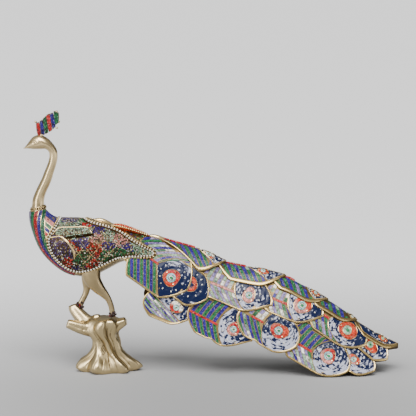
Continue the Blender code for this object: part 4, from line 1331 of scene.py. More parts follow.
def ramp_node(tree, value, low, high):
    """0 below low, 1 above high, smooth between."""
    node = tree.nodes.new("ShaderNodeMapRange")
    node.interpolation_type = "SMOOTHSTEP"
    node.inputs["From Min"].default_value = low
    node.inputs["From Max"].default_value = high
    tree.links.new(value, node.inputs["Value"])
    return node.outputs["Result"]


def mix_node(tree, share, first, second):
    """Mix of two colours by a share; sockets or colours."""
    node = tree.nodes.new("ShaderNodeMix")
    node.data_type = "RGBA"
    for socket, value in ((node.inputs[0], share), (node.inputs[6], first), (node.inputs[7], second)):
        feed(tree, socket, value)
    return node.outputs[2]


def aged_metal_group():
    """Cast metal: bright where it is rubbed, brown in its hollows with patina and where shade is painted,
    with faint clouds and file marks.
    """
    tree, given, out = new_group(
        "aged_metal",
        {"Place": None, "Bright": (0.8, 0.6, 0.35), "Dark": (0.15, 0.1, 0.05), "Wear": 0.0,
         "Clouding": 0.25, "Rough": 0.32}, ("Colour", "Roughness", "Height"))
    place = given["Place"]
    clouds = noise_node(tree, place, 55.0, 4.0)
    grain = noise_node(tree, place, 900.0, 2.0)
    spread = math_node(tree, "MULTIPLY_ADD", math_node(tree, "SUBTRACT", clouds, 0.5),
                       given["Clouding"], given["Wear"])
    share = ramp_node(tree, spread, 0.02, 0.95)
    colour = mix_node(tree, share, given["Bright"], given["Dark"])
    tree.links.new(colour, out["Colour"])
    rough = math_node(tree, "MULTIPLY_ADD", share, 0.28, given["Rough"])
    rough = math_node(tree, "MULTIPLY_ADD", math_node(tree, "SUBTRACT", grain, 0.5), 0.12, rough)
    tree.links.new(rough, out["Roughness"])
    height = math_node(tree, "MULTIPLY_ADD", grain, 0.35, math_node(tree, "MULTIPLY", clouds, 0.5))
    tree.links.new(height, out["Height"])
    return tree


def veined_stone_group():
    """Polished stone: its tint clouded light and dark, with thin pale veins."""
    tree, given, out = new_group(
        "veined_stone",
        {"Place": None, "Tint": (0.1, 0.1, 0.4), "Contrast": 0.5, "Veins": 0.3}, ("Colour", "Height"))
    place = given["Place"]
    clouds = noise_node(tree, place, 260.0, 4.0, 0.6)
    streaks = noise_node(tree, place, 520.0, 3.0, 0.55)
    level = math_node(tree, "MULTIPLY_ADD", math_node(tree, "SUBTRACT", clouds, 0.5),
                      math_node(tree, "MULTIPLY", given["Contrast"], 5.0), 1.0)
    level = math_node(tree, "MAXIMUM", level, 0.2)
    shade = tree.nodes.new("ShaderNodeVectorMath")
    shade.operation = "SCALE"
    tree.links.new(given["Tint"], shade.inputs[0])
    tree.links.new(level, shade.inputs["Scale"])
    vein = math_node(tree, "MULTIPLY", ramp_node(tree, streaks, 0.60, 0.72), given["Veins"])
    colour = mix_node(tree, vein, shade.outputs[0], (0.75, 0.78, 0.74))
    tree.links.new(colour, out["Colour"])
    tree.links.new(streaks, out["Height"])
    return tree


def painted_glint_glass_group():
    """Dark glass crossed by pale flecks, a painted reflection of light glinting on it: the amount linked
    in says how much of it is painted pale.
    """
    tree, given, out = new_group(
        "frosted_glass",
        {"Place": None, "Tint": (0.01, 0.02, 0.1), "Wear": 0.2, "Pale": (0.7, 0.72, 0.85)},
        ("Colour", "Height"))
    place = given["Place"]
    flecks = noise_node(tree, place, 210.0, 3.0, 0.6)
    fine = noise_node(tree, place, 620.0, 2.0)
    blend = math_node(tree, "MULTIPLY_ADD", fine, 0.5, math_node(tree, "MULTIPLY", flecks, 0.9))
    share = ramp_node(tree, math_node(tree, "ADD", blend, given["Wear"]), 1.15, 1.26)
    colour = mix_node(tree, share, given["Tint"], given["Pale"])
    tree.links.new(colour, out["Colour"])
    tree.links.new(math_node(tree, "MULTIPLY_ADD", share, 0.3, flecks), out["Height"])
    return tree


def new_look(name, slots):
    """Material with a Principled shader, and the Object coordinates that its pattern reads."""
    look = bpy.data.materials.new(name)
    look.use_nodes = True
    tree = look.node_tree
    shader = tree.nodes["Principled BSDF"]
    for socket, value in slots.items():
        shader.inputs[socket].default_value = value
    return look, tree, shader, tree.nodes.new("ShaderNodeTexCoord").outputs["Object"]


def group_look(name, group, slots, depth, **inputs):
    """Material whose colour, roughness and bump of a depth in metres come from a node group.

    The group's inputs named Place, Tint and Wear are linked here, and the rest is given.
    """
    look, tree, shader, inputs["Place"] = new_look(name, slots)
    node = tree.nodes.new("ShaderNodeGroup")
    node.node_tree = kept_group(group)
    for socket in node.inputs:
        if socket.name in ("Tint", "Wear"):
            source = tree.nodes.new("ShaderNodeAttribute")
            source.attribute_name = socket.name.lower()
            inputs[socket.name] = source.outputs["Color" if socket.name == "Tint" else "Fac"]
        feed(tree, socket, inputs[socket.name])
    tree.links.new(node.outputs["Colour"], shader.inputs["Base Color"])
    if group == "aged_metal":
        tree.links.new(node.outputs["Roughness"], shader.inputs["Roughness"])
    bump = tree.nodes.new("ShaderNodeBump")
    bump.inputs["Distance"].default_value = depth
    bump.inputs["Strength"].default_value = 0.6
    tree.links.new(node.outputs["Height"], bump.inputs["Height"])
    tree.links.new(bump.outputs["Normal"], shader.inputs["Normal"])
    return look


def kept_group(name):
    """A node group, built when it is first asked for."""
    makers = {"aged_metal": aged_metal_group, "veined_stone": veined_stone_group,
              "frosted_glass": painted_glint_glass_group}
    return bpy.data.node_groups.get(name) or makers[name]()


def kept_look(name):
    """A material, built when it is first asked for."""
    found = bpy.data.materials.get(name)
    if found:
        return found
    colours = bpy.context.scene.peacock_colours
    metals = {
        "cast_brass": (colours.brass, 0.25, 0.35, 0.00004),
        "setting_brass": (np.array(colours.brass) * (0.88, 0.82, 0.62), 0.26, 0.4, 0.00004),
        "stump_brass": (colours.stump_brass, 0.33, 0.4, 0.00004),
        "bead_brass": (colours.bead_brass, 0.22, 0.25, 0.00002),
    }
    stones = {"polished_stone": (0.9, 0.35, 0.35, 0.08), "chip_stone": (0.4, 0.1, 0.40, 0.1),
              "crest_stone": (1.3, 0.25, 0.35, 0.06)}
    if name in metals:
        bright, rough, clouding, depth = metals[name]
        return group_look(name, "aged_metal", {"Metallic": 1.0}, depth, Bright=bright,
                          Dark=colours.patina_and_shade_brass, Clouding=clouding, Rough=rough)
    if name in stones:
        contrast, veins, rough, coat = stones[name]
        slots = {"Roughness": rough, "Coat Weight": coat, "Coat Roughness": 0.06,
                 "Specular IOR Level": 0.16}
        return group_look(name, "veined_stone", slots, 0.00006, Contrast=contrast, Veins=veins)
    # Eye glass: its pale colour paints the glints of light on the glass, a painted reflection.
    slots = {"Roughness": 0.30, "Coat Weight": 0.10, "Coat Roughness": 0.05,
             "Specular IOR Level": 0.12}
    return group_look(name, "frosted_glass", slots, 0.0003, Pale=(0.40, 0.41, 0.50))


class PEACOCK_OT_stump(bpy.types.Operator):
    """Cast tree stump with flowing folds, root lobes, sawn branches and a carved knot"""

    bl_idname = "peacock.stump"
    bl_label = "Tree stump"

    def execute(self, context):
        sizes = context.scene.peacock_sizes
        rows = smooth_rows(STUMP_STATIONS, 120)
        turn = full_turn(220)
        z = np.maximum(rows[:, 0], 0.0)[:, None]
        flow = STUMP_TWIST * z / STUMP_STATIONS[-1][0]
        wobble = 0.35 * np.sin(z / 13.0 + 2.0 * turn) + 0.2 * np.sin(z / 7.0 - turn)
        folds = np.cos(STUMP_FOLDS * turn + 7.0 * flow + wobble)
        folds = folds + 0.4 * np.cos(STUMP_LOBES * turn - flow)
        fine = -np.abs(np.cos(5.5 * turn + 5.5 * flow + 2.0 * wobble)) ** 14
        swell = 1.0 + rows[:, 4:5] * folds + 0.05 * fine
        left, right = rows[:, 1:2], rows[:, 2:3]
        x = (left + right) / 2.0 + (right - left) / 2.0 * np.cos(turn) * swell
        y = rows[:, 3:4] * np.sin(turn) * swell
        rings = np.stack([x, y, np.broadcast_to(z, x.shape)], axis=-1)
        parts = [tube_shape(rings)]
        for stations in STUMP_BRANCHES:
            limb = limb_rings(stations, 40, 48)
            centre = limb.mean(axis=1, keepdims=True)
            around = full_turn(48)
            groove = 1.0 + 0.09 * np.cos(5.0 * around + 0.6) - 0.10 * np.abs(np.cos(4.0 * around)) ** 10
            parts.append(tube_shape(centre + (limb - centre) * groove[None, :, None]))
        points, quads, triangles, tint, _ = melted(parts, sizes.stump_grain, 8)
        normal = point_normals(points, quads, triangles)
        centre_x, centre_z, wide, high = KNOT
        ring = np.abs(points[:, 0] - centre_x) / wide + np.abs(points[:, 2] - centre_z) / high
        row = smooth_rows(STUMP_STATIONS, 200)
        left, right, deep = (np.interp(points[:, 2], row[:, 0], row[:, place]) for place in (1, 2, 3))
        aside = (points[:, 0] - (left + right) / 2.0) / (right - left) * 2.0
        turn = np.arctan2(points[:, 1] / deep, aside)
        flow = STUMP_LINES * turn + 5.0 * points[:, 2] / STUMP_STATIONS[-1][0]
        flow = flow + 1.2 * np.sin(points[:, 2] / 19.0 + 2.0 * turn)
        line = np.abs(np.cos(flow / 2.0)) ** 60 * smooth_step(4.0, 16.0, points[:, 2])
        line = line * (1.0 - smooth_step(70.0, 90.0, points[:, 2])) * smooth_step(1.4, 2.0, ring)
        cut = 0.6 * line
        points = points - normal * (1.1 * cut)[:, None]
        points[:, 2] = np.maximum(points[:, 2], 0.0)
        wear = hollows((points, quads, triangles), 6, 0.10)
        low = 0.25 * (1.0 - smooth_step(0.0, 14.0, points[:, 2]))
        wear = np.clip(wear + 0.8 * cut + low, 0.0, 1.0)
        carving = []
        faced = points[points[:, 1] < -8.0]
        for scale in (1.0, 0.42):
            corner = np.linspace(0.0, 4.0, 48, endpoint=False)
            x = centre_x + scale * wide * np.interp(corner, range(5), (0.0, 1.0, 0.0, -1.0, 0.0))
            z = centre_z + scale * high * np.interp(corner, range(5), (1.0, 0.0, -1.0, 0.0, 1.0))
            nearest = np.hypot(x[:, None] - faced[:, 0], z[:, None] - faced[:, 2]).argmin(axis=1)
            path = np.column_stack([x, faced[nearest, 1], z])
            for _ in range(3):
                path[:, 1] = (np.roll(path[:, 1], 1) + path[:, 1] + np.roll(path[:, 1], -1)) / 3.0
            carving.append(rope(path, 0.5, wear=1.0))
        mesh_piece("stump_carving", carving, "stump_brass", "antique_brass")
        mesh_piece("stump_casting", [(points, quads, triangles, tint, wear)], "stump_brass",
                   "antique_brass", 60.0, ("tree_stump",))
        return {"FINISHED"}


class PEACOCK_OT_body(bpy.types.Operator):
    """Cast body with its wing relief, thighs and legs, and the cast lines over it"""

    bl_idname = "peacock.body"
    bl_label = "Body casting"

    def execute(self, context):
        colours = context.scene.peacock_colours
        rings = body_point(*loft_grid(220, 200), 1.0, 0.0)
        gap, inside = border_distance(rings[..., 0], rings[..., 2])
        mosaic = np.where(inside & (gap > 1.0), 0.95, 0.0)
        belly = 0.15 + 0.25 * (1.0 - smooth_step(178.0, 200.0, rings[..., 2]))
        parts = [tube_shape(rings, wear=np.maximum(mosaic, belly).ravel())]
        for stations in (NEAR_LEG, FAR_LEG):
            parts.append(tube_shape(limb_rings(stations, 60, 40, 0.8), wear=0.30))
        mesh_piece("body_casting", parts, "cast_brass", "inlaid_brass", 50.0, ("body",))

        lines = []
        for side in SIDES:
            for line in WING_LINES:
                rows = smooth_rows(line, 60)
                path = flank_point(rows[:, 0], rows[:, 1], side, 0.25 * rows[:, 2])
                lines.append(tube_shape(path_rings(path, rows[:, 2], 10)))
            for line in LATTICE_LINES:
                x = np.linspace(line[0], line[2], 24)
                path = flank_point(x, np.linspace(line[1], line[3], 24), side, 0.4)
                lines.append(tube_shape(path_rings(path, 0.42, 6)))
        mesh_piece("wing_lines", lines, "bead_brass")

        nuggets = []
        dice = np.random.default_rng(7)
        for ankle, reach in ((NEAR_LEG[-1][:3], 6.5), (FAR_LEG[-1][:3], 8.5)):
            away = unit_rows(dice.normal(size=(FOOT_STONES, 3)))
            away = away * dice.uniform(0.4, 1.0, (FOOT_STONES, 1))
            centres = np.array(ankle) + (0.0, 0.0, 0.8) + away * reach * (1.0, 0.95, 0.95)
            size = dice.uniform(1.7, 2.6, (FOOT_STONES, 1))
            frames = unit_rows(dice.normal(size=(FOOT_STONES, 3)))
            second = unit_rows(np.cross(frames, (0.3, 0.5, 0.8)))
            third = np.cross(frames, second)
            red = dice.random(FOOT_STONES)[:, None] < 0.26
            tints = np.where(red, np.array(colours.coral) * 0.45, np.array((0.030, 0.016, 0.014)))
            nuggets.append(scattered(ball(3, 6), centres, frames * size, second * size * 0.8,
                                     third * size, tints))
        mesh_piece("foot_stones", nuggets, "chip_stone", "inlaid_brass", 20.0)
        return {"FINISHED"}


class PEACOCK_OT_beads(bpy.types.Operator):
    """Beaded border on both flanks: a row of brass ovals outside and a row of bright beads inside, their
    cream a painted highlight, on a band painted dark as shade between the beads
    """

    bl_idname = "peacock.beads"
    bl_label = "Beaded border"

    def execute(self, context):
        pitch = context.scene.peacock_sizes.bead_pitch / UNIT
        bands = []
        outer = []
        inner = []
        for side in SIDES:
            path, _, _, normal = border_frames(side, 3.0)
            # The band under the beads is painted dark: painted shade in the gaps between the beads.
            bands.append(tube_shape(path_rings(path, 3.5, 10, normal, flat=0.42), wear=0.85))
            steps, heading, sideways, normal = border_frames(side, pitch)
            sideways = sideways * side
            outer.append(scattered(ball(4, 8), steps + sideways * 1.75 + normal * 1.2, heading * 2.15,
                                   sideways * 1.55, normal * 1.5, (1.0, 1.0, 1.0)))
            # The inner beads are painted cream: a painted highlight, the bright shine on these beads.
            inner.append(scattered(ball(4, 8), steps - sideways * 1.75 + normal * 1.4, heading * 1.75,
                                   sideways * 1.6, normal * 1.6, context.scene.peacock_colours.cream))
        mesh_piece("border_bands", bands, "cast_brass")
        mesh_piece("border_beads_outer", outer, "bead_brass", "inlaid_brass", 180.0)
        mesh_piece("border_beads_inner", inner, "chip_stone", "inlaid_brass", 180.0)
        return {"FINISHED"}


class PEACOCK_OT_chips(bpy.types.Operator):
    """Mosaic of small stone chips over the body and the wing, in patches of colour"""

    bl_idname = "peacock.chips"
    bl_label = "Chip mosaic"

    def execute(self, context):
        sizes = context.scene.peacock_sizes
        colours = context.scene.peacock_colours
        pitch = sizes.chip_pitch / UNIT
        size = sizes.chip_size / UNIT / 2.0
        dice = np.random.default_rng(11)
        rings = int(round(262.0 / pitch))
        share = (np.arange(rings) + 0.5) / rings
        around = math.pi * mean_radius(curve(BODY_STATIONS, share))
        count = np.maximum(np.round(around / pitch), 1.0)
        number = np.arange(int(count.max()))
        ring, place = np.meshgrid(np.arange(rings), number, indexing="ij")
        used = place < count[ring]
        ring = ring[used]
        place = place[used]
        for side in SIDES:
            turn = (place + 0.5 + dice.uniform(-0.22, 0.22, len(place))) / count[ring] * math.pi
            along = share[ring] + dice.uniform(-0.22, 0.22, len(ring)) / rings
            point = oval_point(BODY_STATIONS, along, turn, side)
            gap, inside = border_distance(point[:, 0], point[:, 2])
            depth = wing_relief(point)
            keep = inside & (gap > 3.4) & (depth > -0.4)
            turn = turn[keep]
            along = along[keep]
            point = point[keep]
            nearest = np.stack([patch_distance(point, patch) for patch in CHIP_PATCHES])
            patch_tints = np.array([getattr(colours, patch[5]) for patch in CHIP_PATCHES])
            main = patch_tints[nearest.argmin(axis=0)]
            roll = dice.random(len(main))[:, None]
            tints = np.where(roll < 0.16, np.array(colours.jet), main)
            tints = np.where((roll > 0.16) & (roll < 0.25), np.array(colours.cream) * 0.7, tints)
            tints = np.where((roll > 0.25) & (roll < 0.42), np.array(colours.brass) * 0.5, tints)
            tints = varied(tints, dice, len(main), 0.3, 1.4)
            centre = body_point(along, turn, side, 0.25)
            ahead = unit_rows(body_point(along + 0.002, turn, side, 0.25) - centre)
            normal = leaned(loft_normal(BODY_STATIONS, along, turn, side), point[:, 0], side)
            aside = unit_rows(np.cross(normal, ahead))
            spin = dice.uniform(-0.6, 0.6, len(turn))[:, None]
            first = np.cos(spin) * ahead + np.sin(spin) * aside
            second = np.cross(normal, first)
            big = size * dice.uniform(0.8, 1.15, (len(turn), 2))
            chips = scattered(cushion(), centre, first * big[:, :1], second * big[:, 1:],
                              normal * 0.45, tints)
            name = "body_chips_near" if side < 0 else "body_chips_far"
            mesh_piece(name, [chips], "chip_stone", "inlaid_brass", 30.0)
        return {"FINISHED"}


def patch_distance(point, patch):
    """How far places are from a colour patch: sqrt(u^2 + v^2), in half sizes along its tilted axes."""
    x, z, long, high, tilt, _ = patch
    turn = math.radians(tilt)
    dx = point[:, 0] - x
    dz = point[:, 2] - z
    return np.hypot((dx * math.cos(turn) + dz * math.sin(turn)) / long,
                    (dz * math.cos(turn) - dx * math.sin(turn)) / high)


class PEACOCK_OT_breast(bpy.types.Operator):
    """Stone strips of the breast: five run down from the collar, and slanted ones fill the shoulder"""

    bl_idname = "peacock.breast"
    bl_label = "Breast strips"

    def execute(self, context):
        sizes = context.scene.peacock_sizes
        colours = context.scene.peacock_colours
        gap = sizes.tile_gap / UNIT
        dice = np.random.default_rng(23)
        shares = np.linspace(0.0, 0.45, 120)
        row = curve(BODY_STATIONS, shares)
        round_it = mean_radius(row)
        run = path_run(row[:, :2])
        made = []
        for side in SIDES:

            def place(distance, along, rise):
                share = np.interp(along, run, shares)
                turn = math.pi - distance / np.interp(share, shares, round_it)
                return body_point(share, turn, side, rise)

            def free(distance, along):
                point = place(distance, along, 0.0)
                near, inside = border_distance(point[..., 0], point[..., 2])
                return ~inside & (near > BORDER_ROOM) & (point[..., 0] < -225.0)

            for start, end, name in BREAST_STRIPS:
                edges = np.array([start, end])
                corners, strip = strip_cells(
                    lambda q, p: free(q, p) & (np.cumprod(free(q, p), axis=-1) > 0),
                    edges, 150.0, 9.0, gap, 0.0)
                if len(corners):
                    tints = varied(np.array(getattr(colours, name)), dice, len(strip), 0.5, 0.8)
                    made.append(tile_shape(place, corners, tints, STRIP_FOOT, STRIP_TOP))

            slant = math.radians(SLANT_TURN)
            origin = np.array((-298.0, 292.0))

            def slanted(q, p):
                x = origin[0] + math.cos(slant) * p + math.sin(slant) * q
                z = origin[1] + math.sin(slant) * p - math.cos(slant) * q
                return x, z

            def shoulder(q, p):
                x, z = slanted(q, p - 40.0)
                share, turn = flank_spot(x, z)
                near, inside = border_distance(x, z)
                distance = (math.pi - turn) * np.interp(share, shares, round_it)
                beyond = distance > BREAST_STRIPS[-1][1] + 0.6
                return (~inside & (near > BORDER_ROOM) & beyond & (share > 0.02) & (share < 0.40)
                        & (turn > 0.12) & (x < -268.0))

            edges = np.arange(-4.0 * SLANT_PITCH, 9.0 * SLANT_PITCH, SLANT_PITCH)
            corners, strip = strip_cells(shoulder, edges, 90.0, 6.5, gap, 0.0)
            if len(corners):
                tints = np.array([getattr(colours, SLANT_TINTS[(index - 3) % len(SLANT_TINTS)])
                                  for index in strip])
                tints = varied(tints, dice, len(strip), 0.55, 0.9)
                made.append(tile_shape(
                    lambda q, p, rise: flank_point(*slanted(q, p - 40.0), side, rise),
                    corners, tints, STRIP_FOOT, SLANT_TOP))
        mesh_piece("breast_strips", made, "polished_stone", "inlaid_brass", 30.0)
        return {"FINISHED"}


class PEACOCK_OT_neck(bpy.types.Operator):
    """Bare neck and head with the eyes, the line of the beak and the beaded collar"""

    bl_idname = "peacock.neck"
    bl_label = "Neck and head"

    def execute(self, context):
        share, turn = loft_grid(300, 96)
        rings = oval_point(NECK_STATIONS, share, turn, 1.0)
        normal = loft_normal(NECK_STATIONS, share, turn, 1.0)
        x = rings[..., 0]
        z = rings[..., 2]
        flank = smooth_step(2.0, 6.0, np.abs(rings[..., 1]))
        eye = np.hypot((x + 312.0) / 3.4, (z - 413.4) / 2.4)
        lid = 0.55 * np.exp(-((eye - 1.0) / 0.30) ** 2) + 0.5 * np.exp(-(eye / 0.5) ** 2)
        mouth = np.exp(-((z - 403.0 - 0.08 * (x + 335.0)) / 0.5) ** 2)
        mouth = mouth * (1.0 - smooth_step(-322.0, -317.0, x))
        crease = 0.35 * np.exp(-((z - 408.5 - 0.25 * (x + 312.0)) / 1.6) ** 2)
        crease = crease * smooth_step(-322.0, -312.0, x)
        crease = crease * (1.0 - smooth_step(-304.0, -298.0, x)) * (z > 398.0)
        relief = flank * (lid - crease) - 0.35 * mouth
        rings = rings + normal * relief[..., None]
        sunk = np.exp(-((eye - 0.62) / 0.18) ** 2) * flank + 0.8 * mouth
        wear = np.clip(0.03 + 0.8 * sunk, 0.0, 1.0)
        parts = [tube_shape(rings, wear=wear.ravel())]
        mesh_piece("neck_casting", parts, "cast_brass", "satin_brass", 60.0, ("neck_and_head",))

        ring = oval_point(NECK_STATIONS, np.full(160, 0.012), np.linspace(0.0, 2.0 * math.pi, 160), 1.0)
        centre = ring[:-1].mean(axis=0)
        above = oval_point(NECK_STATIONS, np.full(8, 0.1), np.linspace(0.0, 5.5, 8), 1.0)
        axis = unit_rows(above.mean(axis=0) - centre)
        seat = centre + (ring - centre) * 1.03
        steps = even_steps(seat, 4.3)
        outward = unit_rows(steps - centre)
        heading = unit_rows(np.cross(np.broadcast_to(axis, outward.shape), outward))
        beads = [scattered(ball(5, 10), steps + axis * 2.6, heading * 1.75, outward * 1.5,
                           axis * 1.9 + 0 * steps, (1.0, 1.0, 1.0))]
        ropes = []
        for level, radius, grow in ((0.3, 1.05, 1.02), (5.2, 0.85, 0.99)):
            loop = centre + (ring[:-1] - centre) * grow + axis * level
            ropes.append(rope(loop[::2], radius, 8, axis))
        band = ring[:-1] + axis * 2.6
        ropes.append(rope(band[::2], 1.8, 8, axis, 0.9))
        mesh_piece("collar_beads", beads, "bead_brass", "satin_brass", 180.0)
        mesh_piece("collar_ropes", ropes, "cast_brass", "satin_brass", 180.0)
        return {"FINISHED"}


class PEACOCK_OT_crest(bpy.types.Operator):
    """Fan crest: six polished stones in leaning brass frames, with pins at its corners"""

    bl_idname = "peacock.crest"
    bl_label = "Crest"

    def execute(self, context):
        colours = context.scene.peacock_colours
        turn = full_turn(64)
        circle = np.stack([np.cos(turn), np.sin(turn)], axis=-1)
        square = np.sign(circle) * np.abs(circle) ** 0.15
        frames = []
        for number, corners in enumerate(CREST_STONES):
            name = "crest_stone_%d" % (number + 1)
            slot, tint = CREST_LOOKS[number % len(CREST_LOOKS)]
            corners = np.array(corners)

            def slab(scale, grow, half):
                u = (square[:, :1] * scale + 1.0) / 2.0
                v = (square[:, 1:] * scale + 1.0) / 2.0
                flat = ((1 - u) * (1 - v) * corners[0] + u * (1 - v) * corners[1]
                        + u * v * corners[2] + (1 - u) * v * corners[3])
                middle = corners.mean(axis=0)
                away = unit_rows(flat - middle)
                flat = flat + away * grow
                return np.column_stack([flat[:, 0], np.full(64, half), flat[:, 1]])

            steps = ((0.02, 3.05), (0.5, 3.0), (0.8, 2.85), (0.93, 2.6), (1.0, 2.1))
            rings = [slab(scale, 0.5 * scale, -half) for scale, half in steps]
            rings += [slab(scale, 0.5 * scale, half) for scale, half in reversed(steps)]
            tint = np.array(getattr(colours, tint)) * 0.55
            stone = tube_shape(np.array(rings), tint=tint)
            mesh_piece(name + "_polished", [stone], "crest_stone", slot, 40.0, (name,))
            steps = ((0.02, 0.0, 2.3), (0.9, 0.5, 2.3), (1.0, 0.8, 2.3), (1.0, 1.1, 1.9),
                     (1.0, 1.25, 1.0))
            rings = [slab(scale, grow, -half) for scale, grow, half in steps]
            rings += [slab(scale, grow, half) for scale, grow, half in reversed(steps)]
            frames.append(tube_shape(np.array(rings), wear=0.65))
        root = ((-303.0, 0.0, 415.0, 4.6), (-303.2, 0.0, 421.0, 3.6), (-302.0, 0.0, 427.0, 3.2))
        frames.append(tube_shape(limb_rings(root, 16, 32), wear=0.1))
        pins = np.array([(x, 0.0, z) for x, z in CREST_PINS])
        frames.append(level_balls(ball(6, 12), pins, (2.3, 2.2, 2.0)))
        mesh_piece("crest_frames", frames, "cast_brass", "satin_brass", 50.0)
        return {"FINISHED"}


class PEACOCK_OT_train(bpy.types.Operator):
    """Train casting: its thin roof, the rimmed feather plates on both flanks and over the ridge"""

    bl_idname = "peacock.train"
    bl_label = "Train casting"

    def execute(self, context):
        rim = context.scene.peacock_sizes.rim_width / UNIT
        x, part = np.meshgrid(np.linspace(*TRAIN_ENDS, 170), np.linspace(-1.0, 1.0, 97), indexing="ij")
        ridge, depth, _, power = roof_rows(x)
        hem = smooth_rows(TRAIN_HEM, 12 * len(TRAIN_HEM))
        drop = np.maximum(ridge - np.interp(x, hem[:, 0], hem[:, 1]), 1.0)
        across = part * (drop / depth) ** (1.0 / power)
        outer = train_point(x, across, -0.3)
        inner = train_point(x, across, -TRAIN_WALL)[:, ::-1]
        roof = tube_shape(np.concatenate([outer, inner], axis=1), wear=0.85)
        plates = []
        for one in FEATHERS:
            for side in SIDES if one["hang"] is None else (1.0,):
                plates.append(plate_shape(one, side, rim))
        mesh_piece("train_roof", [roof], "setting_brass", "inlaid_brass", 50.0, ("train",))
        mesh_piece("feather_plates", plates, "setting_brass", "inlaid_brass", 70.0)
        return {"FINISHED"}


class PEACOCK_OT_inlay(bpy.types.Operator):
    """Inlay of the train: barb tiles, red spines, glass eyes, rings, grains, hearts and pins"""

    bl_idname = "peacock.inlay"
    bl_label = "Train inlay"

    def execute(self, context):
        sizes = context.scene.peacock_sizes
        colours = context.scene.peacock_colours
        for side, word in ((-1.0, "near"), (1.0, "far")):
            dice = np.random.default_rng(41)
            barbs = []
            glass = []
            stones = []
            metal = []
            for one in FEATHERS:
                barbs += barb_shapes(one, side, sizes, colours, dice)
                eye, inlay, pins = eye_shapes(one, side, sizes, colours, dice)
                glass += eye
                stones += inlay
                metal += pins
            mesh_piece("barb_tiles_" + word, barbs, "polished_stone", "inlaid_brass", 25.0)
            mesh_piece("eye_glass_" + word, glass, "eye_glass", "inlaid_brass", 60.0)
            mesh_piece("eye_stones_" + word, stones, "polished_stone", "inlaid_brass", 40.0)
            mesh_piece("eye_pins_" + word, metal, "bead_brass", "inlaid_brass", 40.0)
        return {"FINISHED"}


class PEACOCK_OT_saddle(bpy.types.Operator):
    """Coral band along the top of the back, with its brass edges, bumps and end pods"""

    bl_idname = "peacock.saddle"
    bl_label = "Saddle band"

    def execute(self, context):
        colours = context.scene.peacock_colours
        line = smooth_rows(SADDLE_LINE, 90)
        path = np.column_stack([line[:, 0], np.zeros(90), line[:, 1] - 1.2])
        across = np.array((0.0, 1.0, 0.0))
        normal = unit_rows(np.cross(unit_rows(np.gradient(path, axis=0)), (0.0, -1.0, 0.0)))
        around = full_turn(24)
        taper = np.sin(math.pi * np.linspace(0.01, 0.99, 90)) ** 0.6
        width = 13.0 * taper
        arch = np.sin(around) * 3.6 - 6.5 * np.cos(around) ** 2
        rings = (path[:, None] + np.cos(around)[None, :, None] * across * width[:, None, None]
                 + arch[None, :, None] * taper[:, None, None] * normal[:, None])
        mesh_piece("saddle_coral", [tube_shape(rings, tint=colours.ember)], "polished_stone",
                   "inlaid_brass", 60.0)
        metal = []
        for way in SIDES:
            edge = path + across * (way * width)[:, None] - normal * 6.0 * taper[:, None]
            bumps = path + (edge - path) * 0.45 + normal * 3.6
            for line, pitch, size in ((edge, 3.8, 2.0), (bumps, 13.0, 1.7)):
                grains = even_steps(line[4:-4], pitch)
                metal.append(level_balls(ball(4, 8), grains, (size, 0.9 * size, 0.9 * size)))
        for pod in SADDLE_PODS:
            rows = smooth_rows(pod, 40)
            middle = np.column_stack([rows[:, 0], np.zeros(40), rows[:, 1]])
            radii = 0.1 + 4.2 * np.sin(math.pi * np.linspace(0.02, 0.98, 40)) ** 0.8
            metal.append(tube_shape(path_rings(middle, radii, 24, flat=1.1)))
        mesh_piece("saddle_metal", metal, "bead_brass", "inlaid_brass", 60.0)
        return {"FINISHED"}


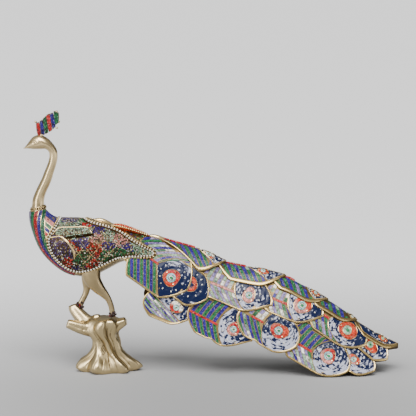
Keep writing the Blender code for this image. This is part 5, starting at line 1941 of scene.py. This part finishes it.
class PEACOCK_OT_stage(bpy.types.Operator):
    """Pale floor, painted darker round the bird as painted shade, soft studio lights and the camera of the
    photograph's view
    """

    bl_idname = "peacock.stage"
    bl_label = "Stage"

    def execute(self, context):
        colours = context.scene.peacock_colours
        turn = full_turn(64)
        rim = FLOOR_RADIUS * np.column_stack([np.cos(turn), np.sin(turn), np.zeros(64)])
        mesh = bpy.data.meshes.new("studio_floor")
        mesh.from_pydata(rim.tolist(), [], [tuple(range(64))])
        floor = linked("studio_floor", mesh)
        look, tree, shader, place = new_look("floor_paper", {"Roughness": 0.8})
        # Painted shade: the floor is painted darker near a spot just before the bird and lighter with
        # distance, for the darker floor round and before it.
        measure = tree.nodes.new("ShaderNodeVectorMath")
        measure.operation = "DISTANCE"
        tree.links.new(place, measure.inputs[0])
        measure.inputs[1].default_value = (0.0, -0.35, 0.0)
        away = ramp_node(tree, measure.outputs["Value"], 0.0, 1.7)
        tree.links.new(mix_node(tree, away, np.array(colours.floor) * 0.32, colours.floor),
                       shader.inputs["Base Color"])
        mesh.materials.append(look)

        world = bpy.data.worlds.new("studio")
        world.use_nodes = True
        tree = world.node_tree
        split = tree.nodes.new("ShaderNodeSeparateXYZ")
        tree.links.new(tree.nodes.new("ShaderNodeTexCoord").outputs["Generated"], split.inputs[0])
        front = ramp_node(tree, math_node(tree, "MULTIPLY", split.outputs["Y"], -1.0), 0.1, 0.9)
        above = ramp_node(tree, split.outputs["Z"], 0.2, 0.9)
        level = math_node(tree, "MULTIPLY_ADD", front, 0.22, 0.18)
        level = math_node(tree, "MULTIPLY_ADD", above, 0.30, level)
        left = ramp_node(tree, math_node(tree, "MULTIPLY", split.outputs["X"], -1.0), 0.2, 0.9)
        level = math_node(tree, "MULTIPLY_ADD", left, 0.30, level)
        tree.links.new(level, tree.nodes["Background"].inputs["Strength"])
        tree.nodes["Background"].inputs["Color"].default_value = (1.0, 1.0, 1.0, 1.0)
        context.scene.world = world

        sun = bpy.data.lights.new("ceiling", "SUN")
        sun.energy = 4.8
        sun.angle = math.radians(40.0)
        linked("ceiling", sun).rotation_euler = (math.radians(39.0), math.radians(-2.0), 0.0)
        for name, place, wide, high, power in SIDE_LIGHTS:
            lamp = bpy.data.lights.new(name, "AREA")
            lamp.shape = "RECTANGLE"
            lamp.size = wide
            lamp.size_y = high
            lamp.energy = power
            item = linked(name, lamp)
            item.location = place
            item.rotation_mode = "QUATERNION"
            way = item.location - type(item.location)((0.0, 0.0, 0.25))
            item.rotation_quaternion = way.to_track_quat("Z", "Y")

        elevation = math.radians(CAMERA_ELEVATION)
        camera = bpy.data.cameras.new("camera")
        camera.sensor_width = SENSOR_WIDTH
        camera.lens = SENSOR_WIDTH * CAMERA_DISTANCE / (PHOTO_SIDE * PIXEL_WIDTH)
        camera.clip_end = 100.0
        item = linked("camera", camera)
        back = CAMERA_DISTANCE * np.array((0.0, -math.cos(elevation), math.sin(elevation)))
        item.location = np.array(CAMERA_AIM) + back
        item.rotation_euler = (math.radians(90.0) - elevation, 0.0, 0.0)
        context.scene.camera = item
        return {"FINISHED"}


class PEACOCK_PT_panel(bpy.types.Panel):
    """Sizes, colours and the steps that make the peacock"""

    bl_idname = "PEACOCK_PT_panel"
    bl_label = "Inlaid peacock"
    bl_space_type = "VIEW_3D"
    bl_region_type = "UI"
    bl_category = "Peacock"

    def draw(self, context):
        scene = context.scene
        for label, group in (("Sizes", scene.peacock_sizes), ("Colours", scene.peacock_colours)):
            box = self.layout.box()
            box.label(text=label)
            for name in group.__annotations__:
                box.prop(group, name)
        for step in STEPS:
            self.layout.operator(step.bl_idname)


STEPS = (PEACOCK_OT_stage, PEACOCK_OT_stump, PEACOCK_OT_body, PEACOCK_OT_beads, PEACOCK_OT_chips,
         PEACOCK_OT_breast, PEACOCK_OT_neck, PEACOCK_OT_crest, PEACOCK_OT_train, PEACOCK_OT_inlay,
         PEACOCK_OT_saddle)
CLASSES = (PeacockSizes, PeacockColours) + STEPS + (PEACOCK_PT_panel,)


def register():
    for item in CLASSES:
        bpy.utils.register_class(item)
    bpy.types.Scene.peacock_sizes = bpy.props.PointerProperty(type=PeacockSizes)
    bpy.types.Scene.peacock_colours = bpy.props.PointerProperty(type=PeacockColours)


def unregister():
    del bpy.types.Scene.peacock_sizes
    del bpy.types.Scene.peacock_colours
    for item in reversed(CLASSES):
        bpy.utils.unregister_class(item)


def main():
    """Registers the add-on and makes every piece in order."""
    register()
    for step in STEPS:
        getattr(bpy.ops.peacock, step.bl_idname.partition(".")[2])()
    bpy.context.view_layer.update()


if __name__ == "__main__":
    main()
